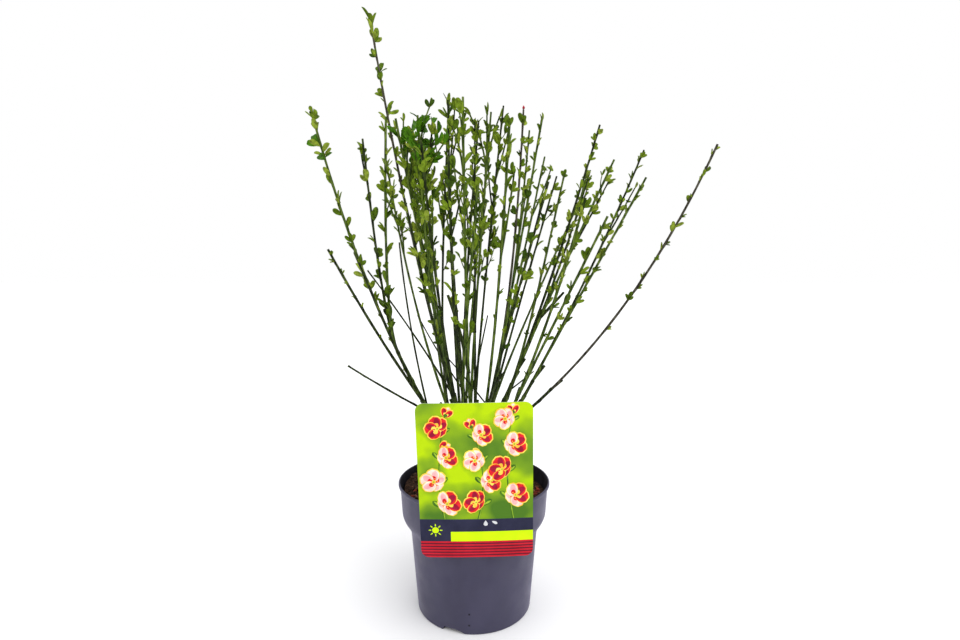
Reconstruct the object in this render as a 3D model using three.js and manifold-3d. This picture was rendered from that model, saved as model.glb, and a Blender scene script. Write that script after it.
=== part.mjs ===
// Broom shrub in a round nursery pot, with a picture card hooked over the rim.
// Millimetres, +Z up, the ground at z = 0 and the pot's axis on the Z axis. The card faces -Y.

import * as THREE from "three";
import { mergeVertices } from "three/addons/utils/BufferGeometryUtils.js";
import Module from "manifold-3d";

const wasm = await Module();
wasm.setup();

// Clearance that touching pieces keep
const GAP = 0.3;

// Pot
const POT = {
  height: 143,
  rimRadius: 85,
  rimWidth: 2.2,
  lipHeight: 3.5,
  lipOverhang: 2,
  collarRadius: 80.7,
  collarBottom: 105,
  shoulderRadius: 71.5,
  shoulderBottom: 91,
  baseRadius: 64,
  wall: 1.6,
  floor: 2.4,
  sides: 40,
};
const DRAIN = { count: 3, firstAngle: -19, width: 22, height: 6, depth: 9 };

// Growing mix in the pot
const SOIL = { top: 130, edgeDrop: 3, flatRadius: 30 };

// Picture card with its hook
const CARD = {
  width: 111,
  height: 162,
  thickness: 0.8,
  corner: 8,
  centreX: 4,
  bottomZ: 93,
  bottomY: -79.9,
  lean: 8,
  turn: 1.1,
};
const HOOK = { width: 22, thickness: 0.9, drop: 11, clearOfRim: 4.2, sunk: 2.4 };

// Short stem that the boughs leave
const TRUNK = {
  flare: 15,
  flareHeight: 5,
  neck: 11,
  radius: 9,
  waist: 0.6,
  top: 6,
  height: 58,
  leanX: 1.5,
  leanY: 1,
  sides: 12,
};

// Thickness of boughs and wands, as radii
const LIMB = { foot: 3.1, fork: 2.2, wandFoot: 1.9, wandTip: 0.8, sides: 5, wandSides: 3 };

const BOUGH_STEPS = 5;

// Side wands: how far above the cut they start, and the share of their length that they keep
// the leader's direction
const WAND = { steps: 7, rootLift: 1.5, rise: 0.15 };

// Leaves
const LEAF = {
  length: 16,
  width: 6.8,
  thickness: 0.7,
  widest: 0.58,
  pitch: 18,
  sunk: 0.3,
  clear: 0.6,
  turn: 137.5,
  turnSpread: 60,
  tilt: 25,
  tiltSpread: 30,
  smallest: 0.75,
  sizeSpread: 0.45,
};
const TIP_LEAF = { along: 0.99, tilt: 8 };

// Each bough runs from the short stem to its fork, and carries one mass of wands.
// foot: height where it leaves the stem. reach, depth, height: place of its leading tip.
// arch: how far it swings outwards before it rises. fork: height of its fork.
// wands: how many wands it carries. fan, swing, drop: how each next tip moves along X, Y and Z,
// where swing goes to and fro. bare: share of each wand without leaves. leaf: size of its leaves.
const BOUGHS = [
  { name: "left", foot: 140, reach: -170, depth: -20, height: 545, arch: 0.13, fork: 290,
    wands: 3, fan: 43, swing: 45, drop: 10, bare: 0.1, leaf: 1 },
  { name: "low_left", foot: 154, reach: -139, depth: -78, height: 397, arch: 0.05, fork: 240,
    wands: 2, fan: 30, swing: -20, drop: 4, bare: 0.3, leaf: 0.9 },
  { name: "tall", foot: 150, reach: -115, depth: 22, height: 655, arch: 0.08, fork: 215,
    wands: 3, fan: 18, swing: 60, drop: 62, bare: 0.35, leaf: 1 },
  { name: "back_left", foot: 148, reach: -118, depth: 125, height: 532, arch: 0.14, fork: 205,
    wands: 3, fan: 43, swing: 20, drop: -33, bare: 0.4, leaf: 1.1 },
  { name: "far_back", foot: 140, reach: -40, depth: 185, height: 530, arch: 0.14, fork: 200,
    wands: 2, fan: 58, swing: 10, drop: -8, bare: 0.35, leaf: 1 },
  { name: "back", foot: 162, reach: 0, depth: 120, height: 572, arch: 0.3, fork: 205,
    wands: 2, fan: 36, swing: -30, drop: -12, bare: 0.4, leaf: 1.1 },
  { name: "back_right", foot: 146, reach: 72, depth: 130, height: 565, arch: 0.15, fork: 205,
    wands: 3, fan: 44, swing: -25, drop: 27, bare: 0.4, leaf: 1 },
  { name: "middle_left", foot: 178, reach: -57, depth: -35, height: 535, arch: 0.3, fork: 215,
    wands: 3, fan: -14, swing: 70, drop: -8, bare: 0.4, leaf: 1.2 },
  { name: "inner_back", foot: 174, reach: -31, depth: 50, height: 578, arch: 0.36, fork: 215,
    wands: 2, fan: 36, swing: 30, drop: 15, bare: 0.4, leaf: 1.1 },
  { name: "middle", foot: 166, reach: -10, depth: -60, height: 545, arch: 0.3, fork: 210,
    wands: 2, fan: 29, swing: 80, drop: -10, bare: 0.4, leaf: 1.1 },
  { name: "middle_right", foot: 176, reach: 57, depth: 40, height: 564, arch: 0.25, fork: 215,
    wands: 3, fan: 16, swing: -60, drop: 20, bare: 0.4, leaf: 1 },
  { name: "front_left", foot: 142, reach: -45, depth: -115, height: 490, arch: 0.15, fork: 195,
    wands: 3, fan: 25, swing: -18, drop: 18, bare: 0.35, leaf: 1 },
  { name: "front", foot: 150, reach: 34, depth: -90, height: 512, arch: 0.16, fork: 195,
    wands: 2, fan: 33, swing: -25, drop: 58, bare: 0.35, leaf: 1 },
  { name: "front_right", foot: 144, reach: 100, depth: -115, height: 440, arch: 0.1, fork: 225,
    wands: 2, fan: 28, swing: 35, drop: 12, bare: 0.3, leaf: 0.9 },
  { name: "right", foot: 146, reach: 144, depth: 34, height: 545, arch: 0.05, fork: 265,
    wands: 2, fan: 5, swing: -50, drop: 50, bare: 0.25, leaf: 0.9 },
  { name: "right_back", foot: 166, reach: 152, depth: 124, height: 512, arch: 0.08, fork: 245,
    wands: 2, fan: -48, swing: -90, drop: 22, bare: 0.25, leaf: 0.9 },
  { name: "outer_right", foot: 140, reach: 212, depth: 90, height: 530, arch: 0.05, fork: 250,
    wands: 2, fan: -36, swing: -130, drop: 58, bare: 0.25, leaf: 0.9 },
  { name: "far_right", foot: 174, reach: 236, depth: -58, height: 492, arch: 0.14, fork: 250,
    wands: 1, fan: 0, swing: 0, drop: 0, bare: 0.05, leaf: 0.65 },
];

// Dead twig that leaves the left bough, with no leaves
const BARE_TWIG = {
  name: "bare_twig", bough: "left", foot: 220, reach: -130, depth: -45, height: 279, arch: 0.02,
};

// Colours
const COLOUR = {
  pot: 0x3b4047,
  soil: 0x33241b,
  card: 0xb5c81e,
  trunk: 0x4f5b2a,
  bough: 0x3f5a22,
  mass: 0x6d9420,
};

// A number from 0 to 1 that depends only on its place in the plant
function chance(bough, wand, leaf, use) {
  const wave = Math.sin(bough * 127.1 + wand * 311.7 + leaf * 74.7 + use * 19.3) * 43758.5453;
  return wave - Math.floor(wave);
}

function radians(degrees) {
  return (degrees * Math.PI) / 180;
}

// Closed geometry to solid and back
function solidFrom(geometry) {
  const plain = geometry.clone();
  plain.deleteAttribute("normal");
  plain.deleteAttribute("uv");
  const merged = mergeVertices(plain, 1e-4);
  return new wasm.Manifold(new wasm.Mesh({
    numProp: 3,
    vertProperties: new Float32Array(merged.attributes.position.array),
    triVerts: new Uint32Array(merged.index.array),
  }));
}

function geometryFrom(solid) {
  const mesh = solid.getMesh();
  const geometry = new THREE.BufferGeometry();
  geometry.setAttribute("position", new THREE.BufferAttribute(new Float32Array(mesh.vertProperties), 3));
  geometry.setIndex(new THREE.BufferAttribute(new Uint32Array(mesh.triVerts), 1));
  geometry.computeVertexNormals();
  return geometry;
}

// Turned solid: a profile of [radius, height] pairs round the Z axis
function turned(profile, sides) {
  const points = profile.map(([radius, height]) => new THREE.Vector2(radius, height));
  return new THREE.LatheGeometry(points, sides).rotateX(Math.PI / 2);
}

// Outside of the pot from its base up to its lip, drawn in or out by an inset
function potOutline(inset) {
  return [
    [POT.baseRadius - inset, 0],
    [POT.shoulderRadius - inset, POT.shoulderBottom],
    [POT.collarRadius - inset, POT.collarBottom],
    [POT.rimRadius - POT.lipOverhang - inset, POT.height - POT.lipHeight],
  ];
}

function potSolid() {
  const outside = potOutline(0);
  const inside = potOutline(POT.wall).slice(1).reverse();
  const profile = [
    [0, 0],
    ...outside,
    [POT.rimRadius, POT.height - POT.lipHeight],
    [POT.rimRadius, POT.height],
    [POT.rimRadius - POT.rimWidth, POT.height],
    ...inside,
    [POT.baseRadius - POT.wall, POT.floor],
    [0, POT.floor],
  ];
  let solid = solidFrom(turned(profile, POT.sides));
  for (let i = 0; i < DRAIN.count; i += 1) {
    const angle = radians(-90 + DRAIN.firstAngle + (360 / DRAIN.count) * i);
    const notch = new THREE.BoxGeometry(DRAIN.depth, DRAIN.width, DRAIN.height * 2);
    notch.translate(POT.baseRadius, 0, 0).rotateZ(angle);
    solid = solid.subtract(solidFrom(notch));
  }
  return solid;
}

function soilSolid() {
  const [, shoulder, collar, lip] = potOutline(POT.wall + GAP);
  const edge = SOIL.top - SOIL.edgeDrop;
  const edgeShare = (edge - collar[1]) / (lip[1] - collar[1]);
  return solidFrom(turned([
    [0, POT.floor + GAP],
    [POT.baseRadius - POT.wall - GAP, POT.floor + GAP],
    shoulder,
    collar,
    [collar[0] + (lip[0] - collar[0]) * edgeShare, edge],
    [SOIL.flatRadius, SOIL.top],
    [0, SOIL.top],
  ], POT.sides));
}

// Card, standing in front of the rim and leaning with the collar, and its hook over the rim
function cardSolid() {
  const half = CARD.width / 2;
  const shape = new THREE.Shape();
  shape.absarc(half - CARD.corner, CARD.corner, CARD.corner, -Math.PI / 2, 0);
  shape.absarc(half - CARD.corner, CARD.height - CARD.corner, CARD.corner, 0, Math.PI / 2);
  shape.absarc(-half + CARD.corner, CARD.height - CARD.corner, CARD.corner, Math.PI / 2, Math.PI);
  shape.absarc(-half + CARD.corner, CARD.corner, CARD.corner, Math.PI, Math.PI * 1.5);
  const sheet = new THREE.ExtrudeGeometry(shape, {
    depth: CARD.thickness,
    bevelEnabled: false,
    curveSegments: 4,
  });
  sheet.rotateZ(radians(CARD.turn));
  sheet.rotateX(radians(90 + CARD.lean));
  sheet.translate(CARD.centreX, CARD.bottomY, CARD.bottomZ);
  const over = POT.height + GAP;
  const back = HOOK.clearOfRim - Math.sqrt((POT.rimRadius - POT.rimWidth) ** 2 - (HOOK.width / 2) ** 2);
  const front = -POT.rimRadius - HOOK.sunk;
  const top = new THREE.BoxGeometry(HOOK.width, back - front, HOOK.thickness);
  top.translate(CARD.centreX, (back + front) / 2, over + HOOK.thickness / 2);
  const tongue = new THREE.BoxGeometry(HOOK.width, HOOK.thickness, HOOK.drop);
  tongue.translate(CARD.centreX, back - HOOK.thickness / 2, over + HOOK.thickness - HOOK.drop / 2);
  return solidFrom(sheet).add(solidFrom(top)).add(solidFrom(tongue));
}

// Short stem: a flared foot cut flat on the soil, leaning a little, drawn larger by what it grows
function trunkSolid(grow) {
  const base = SOIL.top + GAP;
  const stem = turned([
    [0, base],
    [TRUNK.flare + grow, base],
    [TRUNK.neck + grow, base + TRUNK.flareHeight],
    [TRUNK.radius + grow, base + TRUNK.height * TRUNK.waist],
    [TRUNK.top + grow, base + TRUNK.height + grow],
    [0, base + TRUNK.height + grow],
  ], TRUNK.sides);
  const place = stem.attributes.position;
  for (let i = 0; i < place.count; i += 1) {
    const share = Math.max(0, (place.getZ(i) - base) / TRUNK.height);
    place.setX(i, place.getX(i) + TRUNK.leanX * share);
    place.setY(i, place.getY(i) + TRUNK.leanY * share);
  }
  return solidFrom(stem);
}

// A limb's course: from a foot to a tip, bent outwards on its way
function archedCourse(foot, tip, arch) {
  const bend = new THREE.Vector3(
    foot.x + (tip.x - foot.x) * (0.5 + arch),
    foot.y + (tip.y - foot.y) * (0.5 + arch),
    foot.z + (tip.z - foot.z) * (0.5 - arch),
  );
  return new THREE.QuadraticBezierCurve3(foot, bend, tip);
}

// Share of a course where it reaches a height
function shareAtHeight(course, height) {
  let low = 0;
  let high = 1;
  for (let i = 0; i < 40; i += 1) {
    const middle = (low + high) / 2;
    if (course.getPoint(middle).z < height) low = middle;
    else high = middle;
  }
  return (low + high) / 2;
}

// Two directions square to a limb
function across(direction) {
  const right = new THREE.Vector3(0, 1, 0).cross(direction).normalize();
  return [right, direction.clone().cross(right).normalize()];
}

// A tapering limb with flat ends along part of a course
function limbGeometry({ course, from, to, startRadius, endRadius, sides, steps }) {
  const points = [];
  const faces = [];
  for (let i = 0; i <= steps; i += 1) {
    const share = from + ((to - from) * i) / steps;
    const centre = course.getPoint(share);
    const [right, up] = across(course.getTangent(share));
    const radius = startRadius + ((endRadius - startRadius) * i) / steps;
    for (let k = 0; k < sides; k += 1) {
      const angle = (2 * Math.PI * k) / sides;
      const spot = centre.clone()
        .addScaledVector(right, radius * Math.cos(angle))
        .addScaledVector(up, radius * Math.sin(angle));
      points.push(spot.x, spot.y, spot.z);
    }
  }
  for (let i = 0; i < steps; i += 1) {
    for (let k = 0; k < sides; k += 1) {
      const a = i * sides + k;
      const b = i * sides + ((k + 1) % sides);
      faces.push(a, b, b + sides, a, b + sides, a + sides);
    }
  }
  const last = steps * sides;
  for (let k = 1; k < sides - 1; k += 1) {
    faces.push(0, k + 1, k, last, last + k, last + k + 1);
  }
  const geometry = new THREE.BufferGeometry();
  geometry.setAttribute("position", new THREE.Float32BufferAttribute(points, 3));
  geometry.setIndex(faces);
  return geometry;
}

// A leaf of eight faces: narrow foot, widest past its middle, a ridge on both sides
function leafGeometry({ root, along, side, length }) {
  const width = (LEAF.width * length) / LEAF.length;
  const face = along.clone().cross(side).normalize();
  const middle = root.clone().addScaledVector(along, length * LEAF.widest);
  const corners = [
    root.clone(),
    middle.clone().addScaledVector(side, width / 2),
    root.clone().addScaledVector(along, length),
    middle.clone().addScaledVector(side, -width / 2),
    middle.clone().addScaledVector(face, LEAF.thickness / 2),
    middle.clone().addScaledVector(face, -LEAF.thickness / 2),
  ];
  const geometry = new THREE.BufferGeometry();
  const numbers = corners.flatMap((corner) => corner.toArray());
  geometry.setAttribute("position", new THREE.Float32BufferAttribute(numbers, 3));
  geometry.setIndex([1, 0, 4, 2, 1, 4, 3, 2, 4, 0, 3, 4, 0, 1, 5, 1, 2, 5, 2, 3, 5, 3, 0, 5]);
  return geometry;
}

// Shortest distance between two straight pieces, by closing in on each in turn
function distanceApart(first, second) {
  const line = new THREE.Line3(first.from, first.to);
  const other = new THREE.Line3(second.from, second.to);
  const near = line.getCenter(new THREE.Vector3());
  const far = new THREE.Vector3();
  for (let i = 0; i < 6; i += 1) {
    other.closestPointToPoint(near, true, far);
    line.closestPointToPoint(far, true, near);
  }
  return near.distanceTo(far);
}

function boughCourse(row) {
  const foot = new THREE.Vector3(TRUNK.leanX / 2, TRUNK.leanY / 2, row.foot);
  const tip = new THREE.Vector3(row.reach, row.depth, row.height);
  return archedCourse(foot, tip, row.arch);
}

// Courses of a bough's wands: the leader runs on from the bough, the others leave its fork
function wandCourses(row) {
  const leader = boughCourse(row);
  const share = shareAtHeight(leader, row.fork);
  const fork = leader.getPoint(share);
  const start = share + GAP / leader.getLength();
  const wands = [{ course: leader, from: start, to: 1 }];
  for (let i = 1; i < row.wands; i += 1) {
    const side = i % 2 === 1 ? 1 : -1;
    const tip = new THREE.Vector3(
      row.reach + row.fan * i,
      row.depth + row.swing * side,
      row.height - row.drop * i,
    );
    const onwards = leader.getTangent(share);
    const root = fork.clone().addScaledVector(onwards, GAP + WAND.rootLift * i);
    const bend = fork.clone().addScaledVector(onwards, fork.distanceTo(tip) * WAND.rise);
    wands.push({ course: new THREE.QuadraticBezierCurve3(root, bend, tip), from: 0, to: 1 });
  }
  return { wands, share };
}

// Place and direction on a wand's straight pieces
function spotOn(wand, along) {
  const piece = Math.min(Math.floor(along * WAND.steps), WAND.steps - 1);
  const shareOf = (step) => wand.from + ((wand.to - wand.from) * step) / WAND.steps;
  const start = wand.course.getPoint(shareOf(piece));
  const end = wand.course.getPoint(shareOf(piece + 1));
  const spot = start.clone().lerp(end, along * WAND.steps - piece);
  return [spot, end.sub(start).normalize()];
}

// Straight pieces of a wand, for testing what comes near it
function piecesOf(wand, mass) {
  const pieces = [];
  for (let i = 0; i < WAND.steps; i += 1) {
    const [from] = spotOn(wand, i / WAND.steps);
    const [to] = spotOn(wand, (i + 1) / WAND.steps);
    pieces.push({ mass, from, to, reach: LIMB.wandFoot });
  }
  return pieces;
}

const plant = BOUGHS.map((row, number) => ({ row, number, course: boughCourse(row), ...wandCourses(row) }));
const taken = plant.flatMap((bough) => bough.wands.flatMap((wand) => piecesOf(wand, bough.number)));

// Leaves of one wand, each turned a golden angle on from the last; one that would come near
// another mass is skipped
function leavesOf(bough, wand, index) {
  const { row, number } = bough;
  const length = wand.course.getLength() * (wand.to - wand.from);
  const count = Math.round((length * (1 - row.bare)) / LEAF.pitch);
  const leaves = [];
  for (let i = 0; i < count; i += 1) {
    const along = row.bare + ((1 - row.bare) * (i + 0.4 + 0.5 * chance(number, index, i, 1))) / count;
    const isLast = i === count - 1;
    const [centre, tangent] = spotOn(wand, isLast ? TIP_LEAF.along : along);
    const [right, up] = across(tangent);
    const turn = radians(LEAF.turn * i + LEAF.turnSpread * chance(number, index, i, 2));
    const out = right.multiplyScalar(Math.cos(turn)).addScaledVector(up, Math.sin(turn));
    const tilt = radians(isLast ? TIP_LEAF.tilt : LEAF.tilt + LEAF.tiltSpread * chance(number, index, i, 3));
    const direction = tangent.clone().multiplyScalar(Math.cos(tilt)).addScaledVector(out, Math.sin(tilt));
    const leaf = {
      root: centre.clone().addScaledVector(direction, -LEAF.sunk),
      along: direction,
      side: tangent.clone().cross(out).normalize(),
      length: LEAF.length * row.leaf * (LEAF.smallest + LEAF.sizeSpread * chance(number, index, i, 4)),
    };
    const space = {
      mass: number,
      from: leaf.root,
      to: leaf.root.clone().addScaledVector(direction, leaf.length),
      reach: LEAF.width / 2,
    };
    const blocked = taken.some((piece) => piece.mass !== number
      && distanceApart(space, piece) < space.reach + piece.reach + LEAF.clear);
    if (!blocked) {
      taken.push(space);
      leaves.push(leafGeometry(leaf));
    }
  }
  return leaves;
}

function massSolid(bough) {
  const parts = bough.wands.map((wand) => limbGeometry({
    ...wand,
    startRadius: LIMB.wandFoot,
    endRadius: LIMB.wandTip,
    sides: LIMB.wandSides,
    steps: WAND.steps,
  }));
  bough.wands.forEach((wand, index) => parts.push(...leavesOf(bough, wand, index)));
  return wasm.Manifold.union(parts.map(solidFrom));
}

// A bough up to its fork, drawn larger by what it grows
function boughLimb(bough, grow) {
  return solidFrom(limbGeometry({
    course: bough.course,
    from: 0,
    to: bough.share,
    startRadius: LIMB.foot + grow,
    endRadius: LIMB.fork + grow,
    sides: LIMB.sides,
    steps: BOUGH_STEPS,
  }));
}

function bareTwigSolid() {
  const bough = plant.find(({ row }) => row.name === BARE_TWIG.bough);
  const foot = bough.course.getPoint(shareAtHeight(bough.course, BARE_TWIG.foot));
  const tip = new THREE.Vector3(BARE_TWIG.reach, BARE_TWIG.depth, BARE_TWIG.height);
  const twig = limbGeometry({
    course: archedCourse(foot, tip, BARE_TWIG.arch),
    from: 0,
    to: 1,
    startRadius: LIMB.wandFoot,
    endRadius: LIMB.wandTip,
    sides: LIMB.sides,
    steps: BOUGH_STEPS,
  });
  return solidFrom(twig).subtract(boughLimb(bough, GAP));
}

const group = new THREE.Group();

function addNode(name, solid, colour, roughness) {
  const material = new THREE.MeshStandardMaterial({
    color: colour,
    roughness,
    metalness: 0,
    flatShading: true,
  });
  const mesh = new THREE.Mesh(geometryFrom(solid), material);
  mesh.name = name;
  group.add(mesh);
}

addNode("pot", potSolid(), COLOUR.pot, 0.55);
addNode("soil", soilSolid(), COLOUR.soil, 0.95);
addNode("picture_card", cardSolid(), COLOUR.card, 0.35);
addNode("trunk", trunkSolid(0), COLOUR.trunk, 0.85);

const stemRoom = trunkSolid(GAP);
for (const bough of plant) {
  addNode(`${bough.row.name}_bough`, boughLimb(bough, 0).subtract(stemRoom), COLOUR.bough, 0.7);
}
addNode(BARE_TWIG.name, bareTwigSolid(), COLOUR.bough, 0.7);
for (const bough of plant) {
  addNode(`${bough.row.name}_mass`, massSolid(bough), COLOUR.mass, 0.6);
}

export default group;
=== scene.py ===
# Broom shrub in a round nursery pot, with a picture card hooked over the rim.
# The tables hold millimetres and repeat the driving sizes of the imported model; every mesh is
# made in metres, in the row frame: +Z up, ground at z = 0, the pot's axis on Z, the card facing -Y.

import math
from types import SimpleNamespace as Named

import bpy
import numpy as np
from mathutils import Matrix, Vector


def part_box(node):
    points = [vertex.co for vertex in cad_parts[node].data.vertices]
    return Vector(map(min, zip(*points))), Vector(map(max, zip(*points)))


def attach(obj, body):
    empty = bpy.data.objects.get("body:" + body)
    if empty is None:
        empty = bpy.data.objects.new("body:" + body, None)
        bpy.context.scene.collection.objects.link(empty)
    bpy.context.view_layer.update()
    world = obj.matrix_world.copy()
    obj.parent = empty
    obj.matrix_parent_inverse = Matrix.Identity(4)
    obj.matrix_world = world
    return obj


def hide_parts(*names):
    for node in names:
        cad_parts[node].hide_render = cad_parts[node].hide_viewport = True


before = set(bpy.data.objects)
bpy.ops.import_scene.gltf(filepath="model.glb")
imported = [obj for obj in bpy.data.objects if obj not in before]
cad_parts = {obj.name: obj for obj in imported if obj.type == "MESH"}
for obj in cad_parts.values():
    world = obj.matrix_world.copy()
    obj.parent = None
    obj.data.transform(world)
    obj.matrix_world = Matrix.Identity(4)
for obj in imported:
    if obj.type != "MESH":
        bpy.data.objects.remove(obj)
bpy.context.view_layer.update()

MM = 0.001

# Camera as the photograph was taken
CAMERA = Named(lens=20.1, sensor=36.0, place=(0.0067, -0.595, 0.367), pitch=4.2)

# Strength of the even white all round, and the soft lights: compass turn, height, strength and softness
STUDIO = 0.68
SUNS = {"key": (40, 46, 1.5, 60), "left_fill": (-62, 30, 0.5, 50), "top": (160, 70, 0.7, 60)}

# Pot
POT = Named(
    height=143, rim_radius=85, rim_width=2.2, lip_height=3.5, lip_overhang=2,
    collar_radius=80.7, collar_bottom=105, shoulder_radius=71.5, shoulder_bottom=91,
    base_radius=64, wall=1.6, floor=2.4, segments=256, row=4,
)
DRAIN = Named(count=3, first_angle=-19.5, width=25, height=3.8, depth=9, edge=1.2, slope=13, fade=16)
MOULD_PIP = Named(x=-4.4, heights=(23.4, 10.8), radius=1.1, proud=0.5)

# Growing mix, and its bark chips: their sides, their breadth and thickness as shares of their length,
# how far they are jogged, lifted and tipped by chance, and rows of their number, seed, lengths and colours
SOIL = Named(top=130, edge_drop=3, bottom=12, flat_radius=30, lumps=1.1, gap=0.3)
MOUND = Named(x=-60, y=26, height=11, spread=30)
CHIP = Named(
    sides=6, breadth=(0.25, 0.6), thickness=(0.12, 0.24), jog=(0.6, 1.1), lift=(-0.3, 0.3), tip=0.35,
    raised=0.5,
)
CHIPS = {
    "dark": ((620, 11, (3, 9)), ((0.016, 0.008, 0.006), (0.08, 0.042, 0.027))),
    "brown": ((260, 12, (4, 13)), ((0.07, 0.03, 0.017), (0.26, 0.13, 0.075))),
    "red": ((170, 13, (5, 14)), ((0.11, 0.018, 0.011), (0.32, 0.065, 0.036))),
}

# Picture card and its hook
CARD = Named(
    width=111, height=162, thickness=0.8, corner=8, centre_x=4, bottom_z=93,
    bottom_y=-79.9, lean=8, turn=1.1, bow=1.6, layer=0.015,
)
HOOK = Named(width=22, thickness=0.9, drop=11, clear_of_rim=4.2, gap=0.3)

# Printed bands of the card, as heights above its lower edge, and the marks on them
BANDS = Named(red_top=17.8, yellow_top=28.3, dark_top=42, yellow_width=81, stripes=5, stripe=1.4)
SUN = Named(x=-40.5, height=30, disc=3.3, rays=8, ray=3, ray_width=1.15, ray_foot=4.1)
DROP = Named(x=9, top=40.4, length=6, width=3.9)

# Printed design of the card: stems as start, bend and end, and the sizes of what grows along them
PRINTED_STEMS = (
    ((-31, 42), (-40, 92), (-27, 151)),
    ((2, 42), (15, 88), (-3, 139)),
    ((36, 42), (25, 100), (37, 153)),
)
PRINTED = Named(
    places=4, first=0.12, step=0.24, stagger=0.035, away=6.5, reach=14.4, shrink=0.7,
    petals=5, breadth=0.98, rim=1.1, flush=0.5, blotch=0.5, heart=2.2, cup=4,
    stamens=6, stamen=0.55, levels=24, stem=2.2, bud=10, margin=2.2,
)
PALE_TONES = ("cream", "pink", "red")
DEEP_TONES = ("red", "crimson", "yellow")

# Inks of the card's pieces, each clouded from one colour to another
INKS = {
    "red_band": ((0.5, 0.01, 0.022), (0.6, 0.014, 0.03)),
    "stripes": ((0.1, 0.006, 0.02), (0.14, 0.008, 0.026)),
    "dark_band": ((0.018, 0.019, 0.045), (0.026, 0.027, 0.06)),
    "yellow_strip": ((0.58, 0.84, 0.001), (0.64, 0.9, 0.002)),
    "marks": ((0.6, 0.62, 0.64), (0.7, 0.72, 0.74)),
    "cream": ((0.9, 0.62, 0.52), (0.96, 0.82, 0.72)),
    "pink": ((0.85, 0.36, 0.38), (0.92, 0.55, 0.52)),
    "red": ((0.62, 0.01, 0.02), (0.82, 0.026, 0.03)),
    "crimson": ((0.28, 0.006, 0.03), (0.4, 0.01, 0.045)),
    "yellow": ((0.93, 0.5, 0.04), (0.97, 0.78, 0.12)),
    "leaf": ((0.03, 0.1, 0.008), (0.08, 0.21, 0.012)),
    "lime": ((0.24, 0.42, 0.02), (0.4, 0.6, 0.04)),
}

# Short stem that the boughs leave
TRUNK = Named(
    flare=15, flare_height=5, neck=11, radius=9, waist=0.6, top=6,
    height=58, lean_x=1.5, lean_y=1, foot=130.3,
)

# Thickness of boughs, wands and twigs, as radii
LIMB = Named(foot=2.5, fork=1.85, wand_foot=1.7, wand_tip=1.1)
WAND = Named(sunk=1.5, rise=0.15, most=4, bud=3.0)
LEAF = Named(
    length=16, width=6.8, turn=137.5, turn_spread=60, tilt=25, tilt_spread=30,
    smallest=0.75, size_spread=0.45, last=0.99, last_tilt=8,
)

# Each bough runs from the short stem to its fork, and carries one mass of wands.
# foot: height where it leaves the stem. reach, depth, height: place of its leading tip.
# arch: how far it swings outwards before it rises. fork: height of its fork.
# wands: how many wands it carries. fan, swing, drop: how each next tip moves along X, Y and Z,
# where swing goes to and fro. bare: share of each wand without leaves. leaf: size of its leaves.
FIELDS = "name foot reach depth height arch fork wands fan swing drop bare leaf".split()
BOUGHS = [Named(**dict(zip(FIELDS, row))) for row in (
    ("left", 140, -170, -20, 545, 0.13, 290, 3, 43, 45, 10, 0.1, 1),
    ("low_left", 154, -139, -78, 397, 0.05, 240, 2, 30, -20, 4, 0.3, 0.9),
    ("tall", 150, -115, 22, 655, 0.08, 215, 3, 18, 60, 62, 0.35, 1),
    ("back_left", 148, -118, 125, 532, 0.14, 205, 3, 43, 20, -33, 0.4, 1.1),
    ("far_back", 140, -40, 185, 530, 0.14, 200, 2, 58, 10, -8, 0.35, 1),
    ("back", 162, 0, 120, 572, 0.3, 205, 2, 36, -30, -12, 0.4, 1.1),
    ("back_right", 146, 72, 130, 565, 0.15, 205, 3, 44, -25, 27, 0.4, 1),
    ("middle_left", 178, -57, -35, 535, 0.3, 215, 3, -14, 70, -8, 0.4, 1.2),
    ("inner_back", 174, -31, 50, 578, 0.36, 215, 2, 36, 30, 15, 0.4, 1.1),
    ("middle", 166, -10, -60, 545, 0.3, 210, 2, 29, 80, -10, 0.4, 1.1),
    ("middle_right", 176, 57, 40, 564, 0.25, 215, 3, 16, -60, 20, 0.4, 1),
    ("front_left", 142, -45, -115, 490, 0.15, 195, 3, 25, -18, 18, 0.35, 1),
    ("front", 150, 34, -90, 512, 0.16, 195, 2, 33, -25, 58, 0.35, 1),
    ("front_right", 144, 100, -115, 440, 0.1, 225, 2, 28, 35, 12, 0.3, 0.9),
    ("right", 146, 144, 34, 545, 0.05, 265, 2, 5, -50, 50, 0.25, 0.9),
    ("right_back", 166, 152, 124, 512, 0.08, 245, 2, -48, -90, 22, 0.25, 0.9),
    ("outer_right", 140, 212, 90, 530, 0.05, 250, 2, -36, -130, 58, 0.25, 0.9),
    ("far_right", 174, 236, -58, 492, 0.14, 250, 1, 0, 0, 0, 0.05, 0.65),
)]
BARE_TWIG = Named(bough="left", foot=220, tip=(-130, -45, 279), arch=0.02)
DENSE_FROM = 1.05

# Finer growth that only the looks have: long shoots nearly along their wand, and short leafy twigs, then
# what holds for both, and the wands that have neither
SHOOT = Named(
    spacing=44, low=0.57, high=0.92, tilt=7, tilt_spread=12, length=46, spread=60,
    foot=1.2, tip=0.75, often=0.27, dense_often=0.8, clump_often=0.95, bare=0.28,
    leaf=0.9, draw=30, number=10, pitch=11.5, bud=2.6,
)
TWIG = Named(
    spacing=9, low=0.5, high=0.97, tilt=20, tilt_spread=26, length=10, spread=18,
    foot=0.7, tip=0.45, often=0.03, dense_often=0.16, clump_often=0.8, bare=0.25,
    leaf=0.95, draw=40, number=100, pitch=7, bud=2.0,
)
SIDE = Named(margin=4, shorter=26, turn_spread=120, bend=0.45, rise=0.55, slack=0.9, shortest=0.7)
LONE_WANDS = (("tall", 0), ("left", 0))

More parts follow.
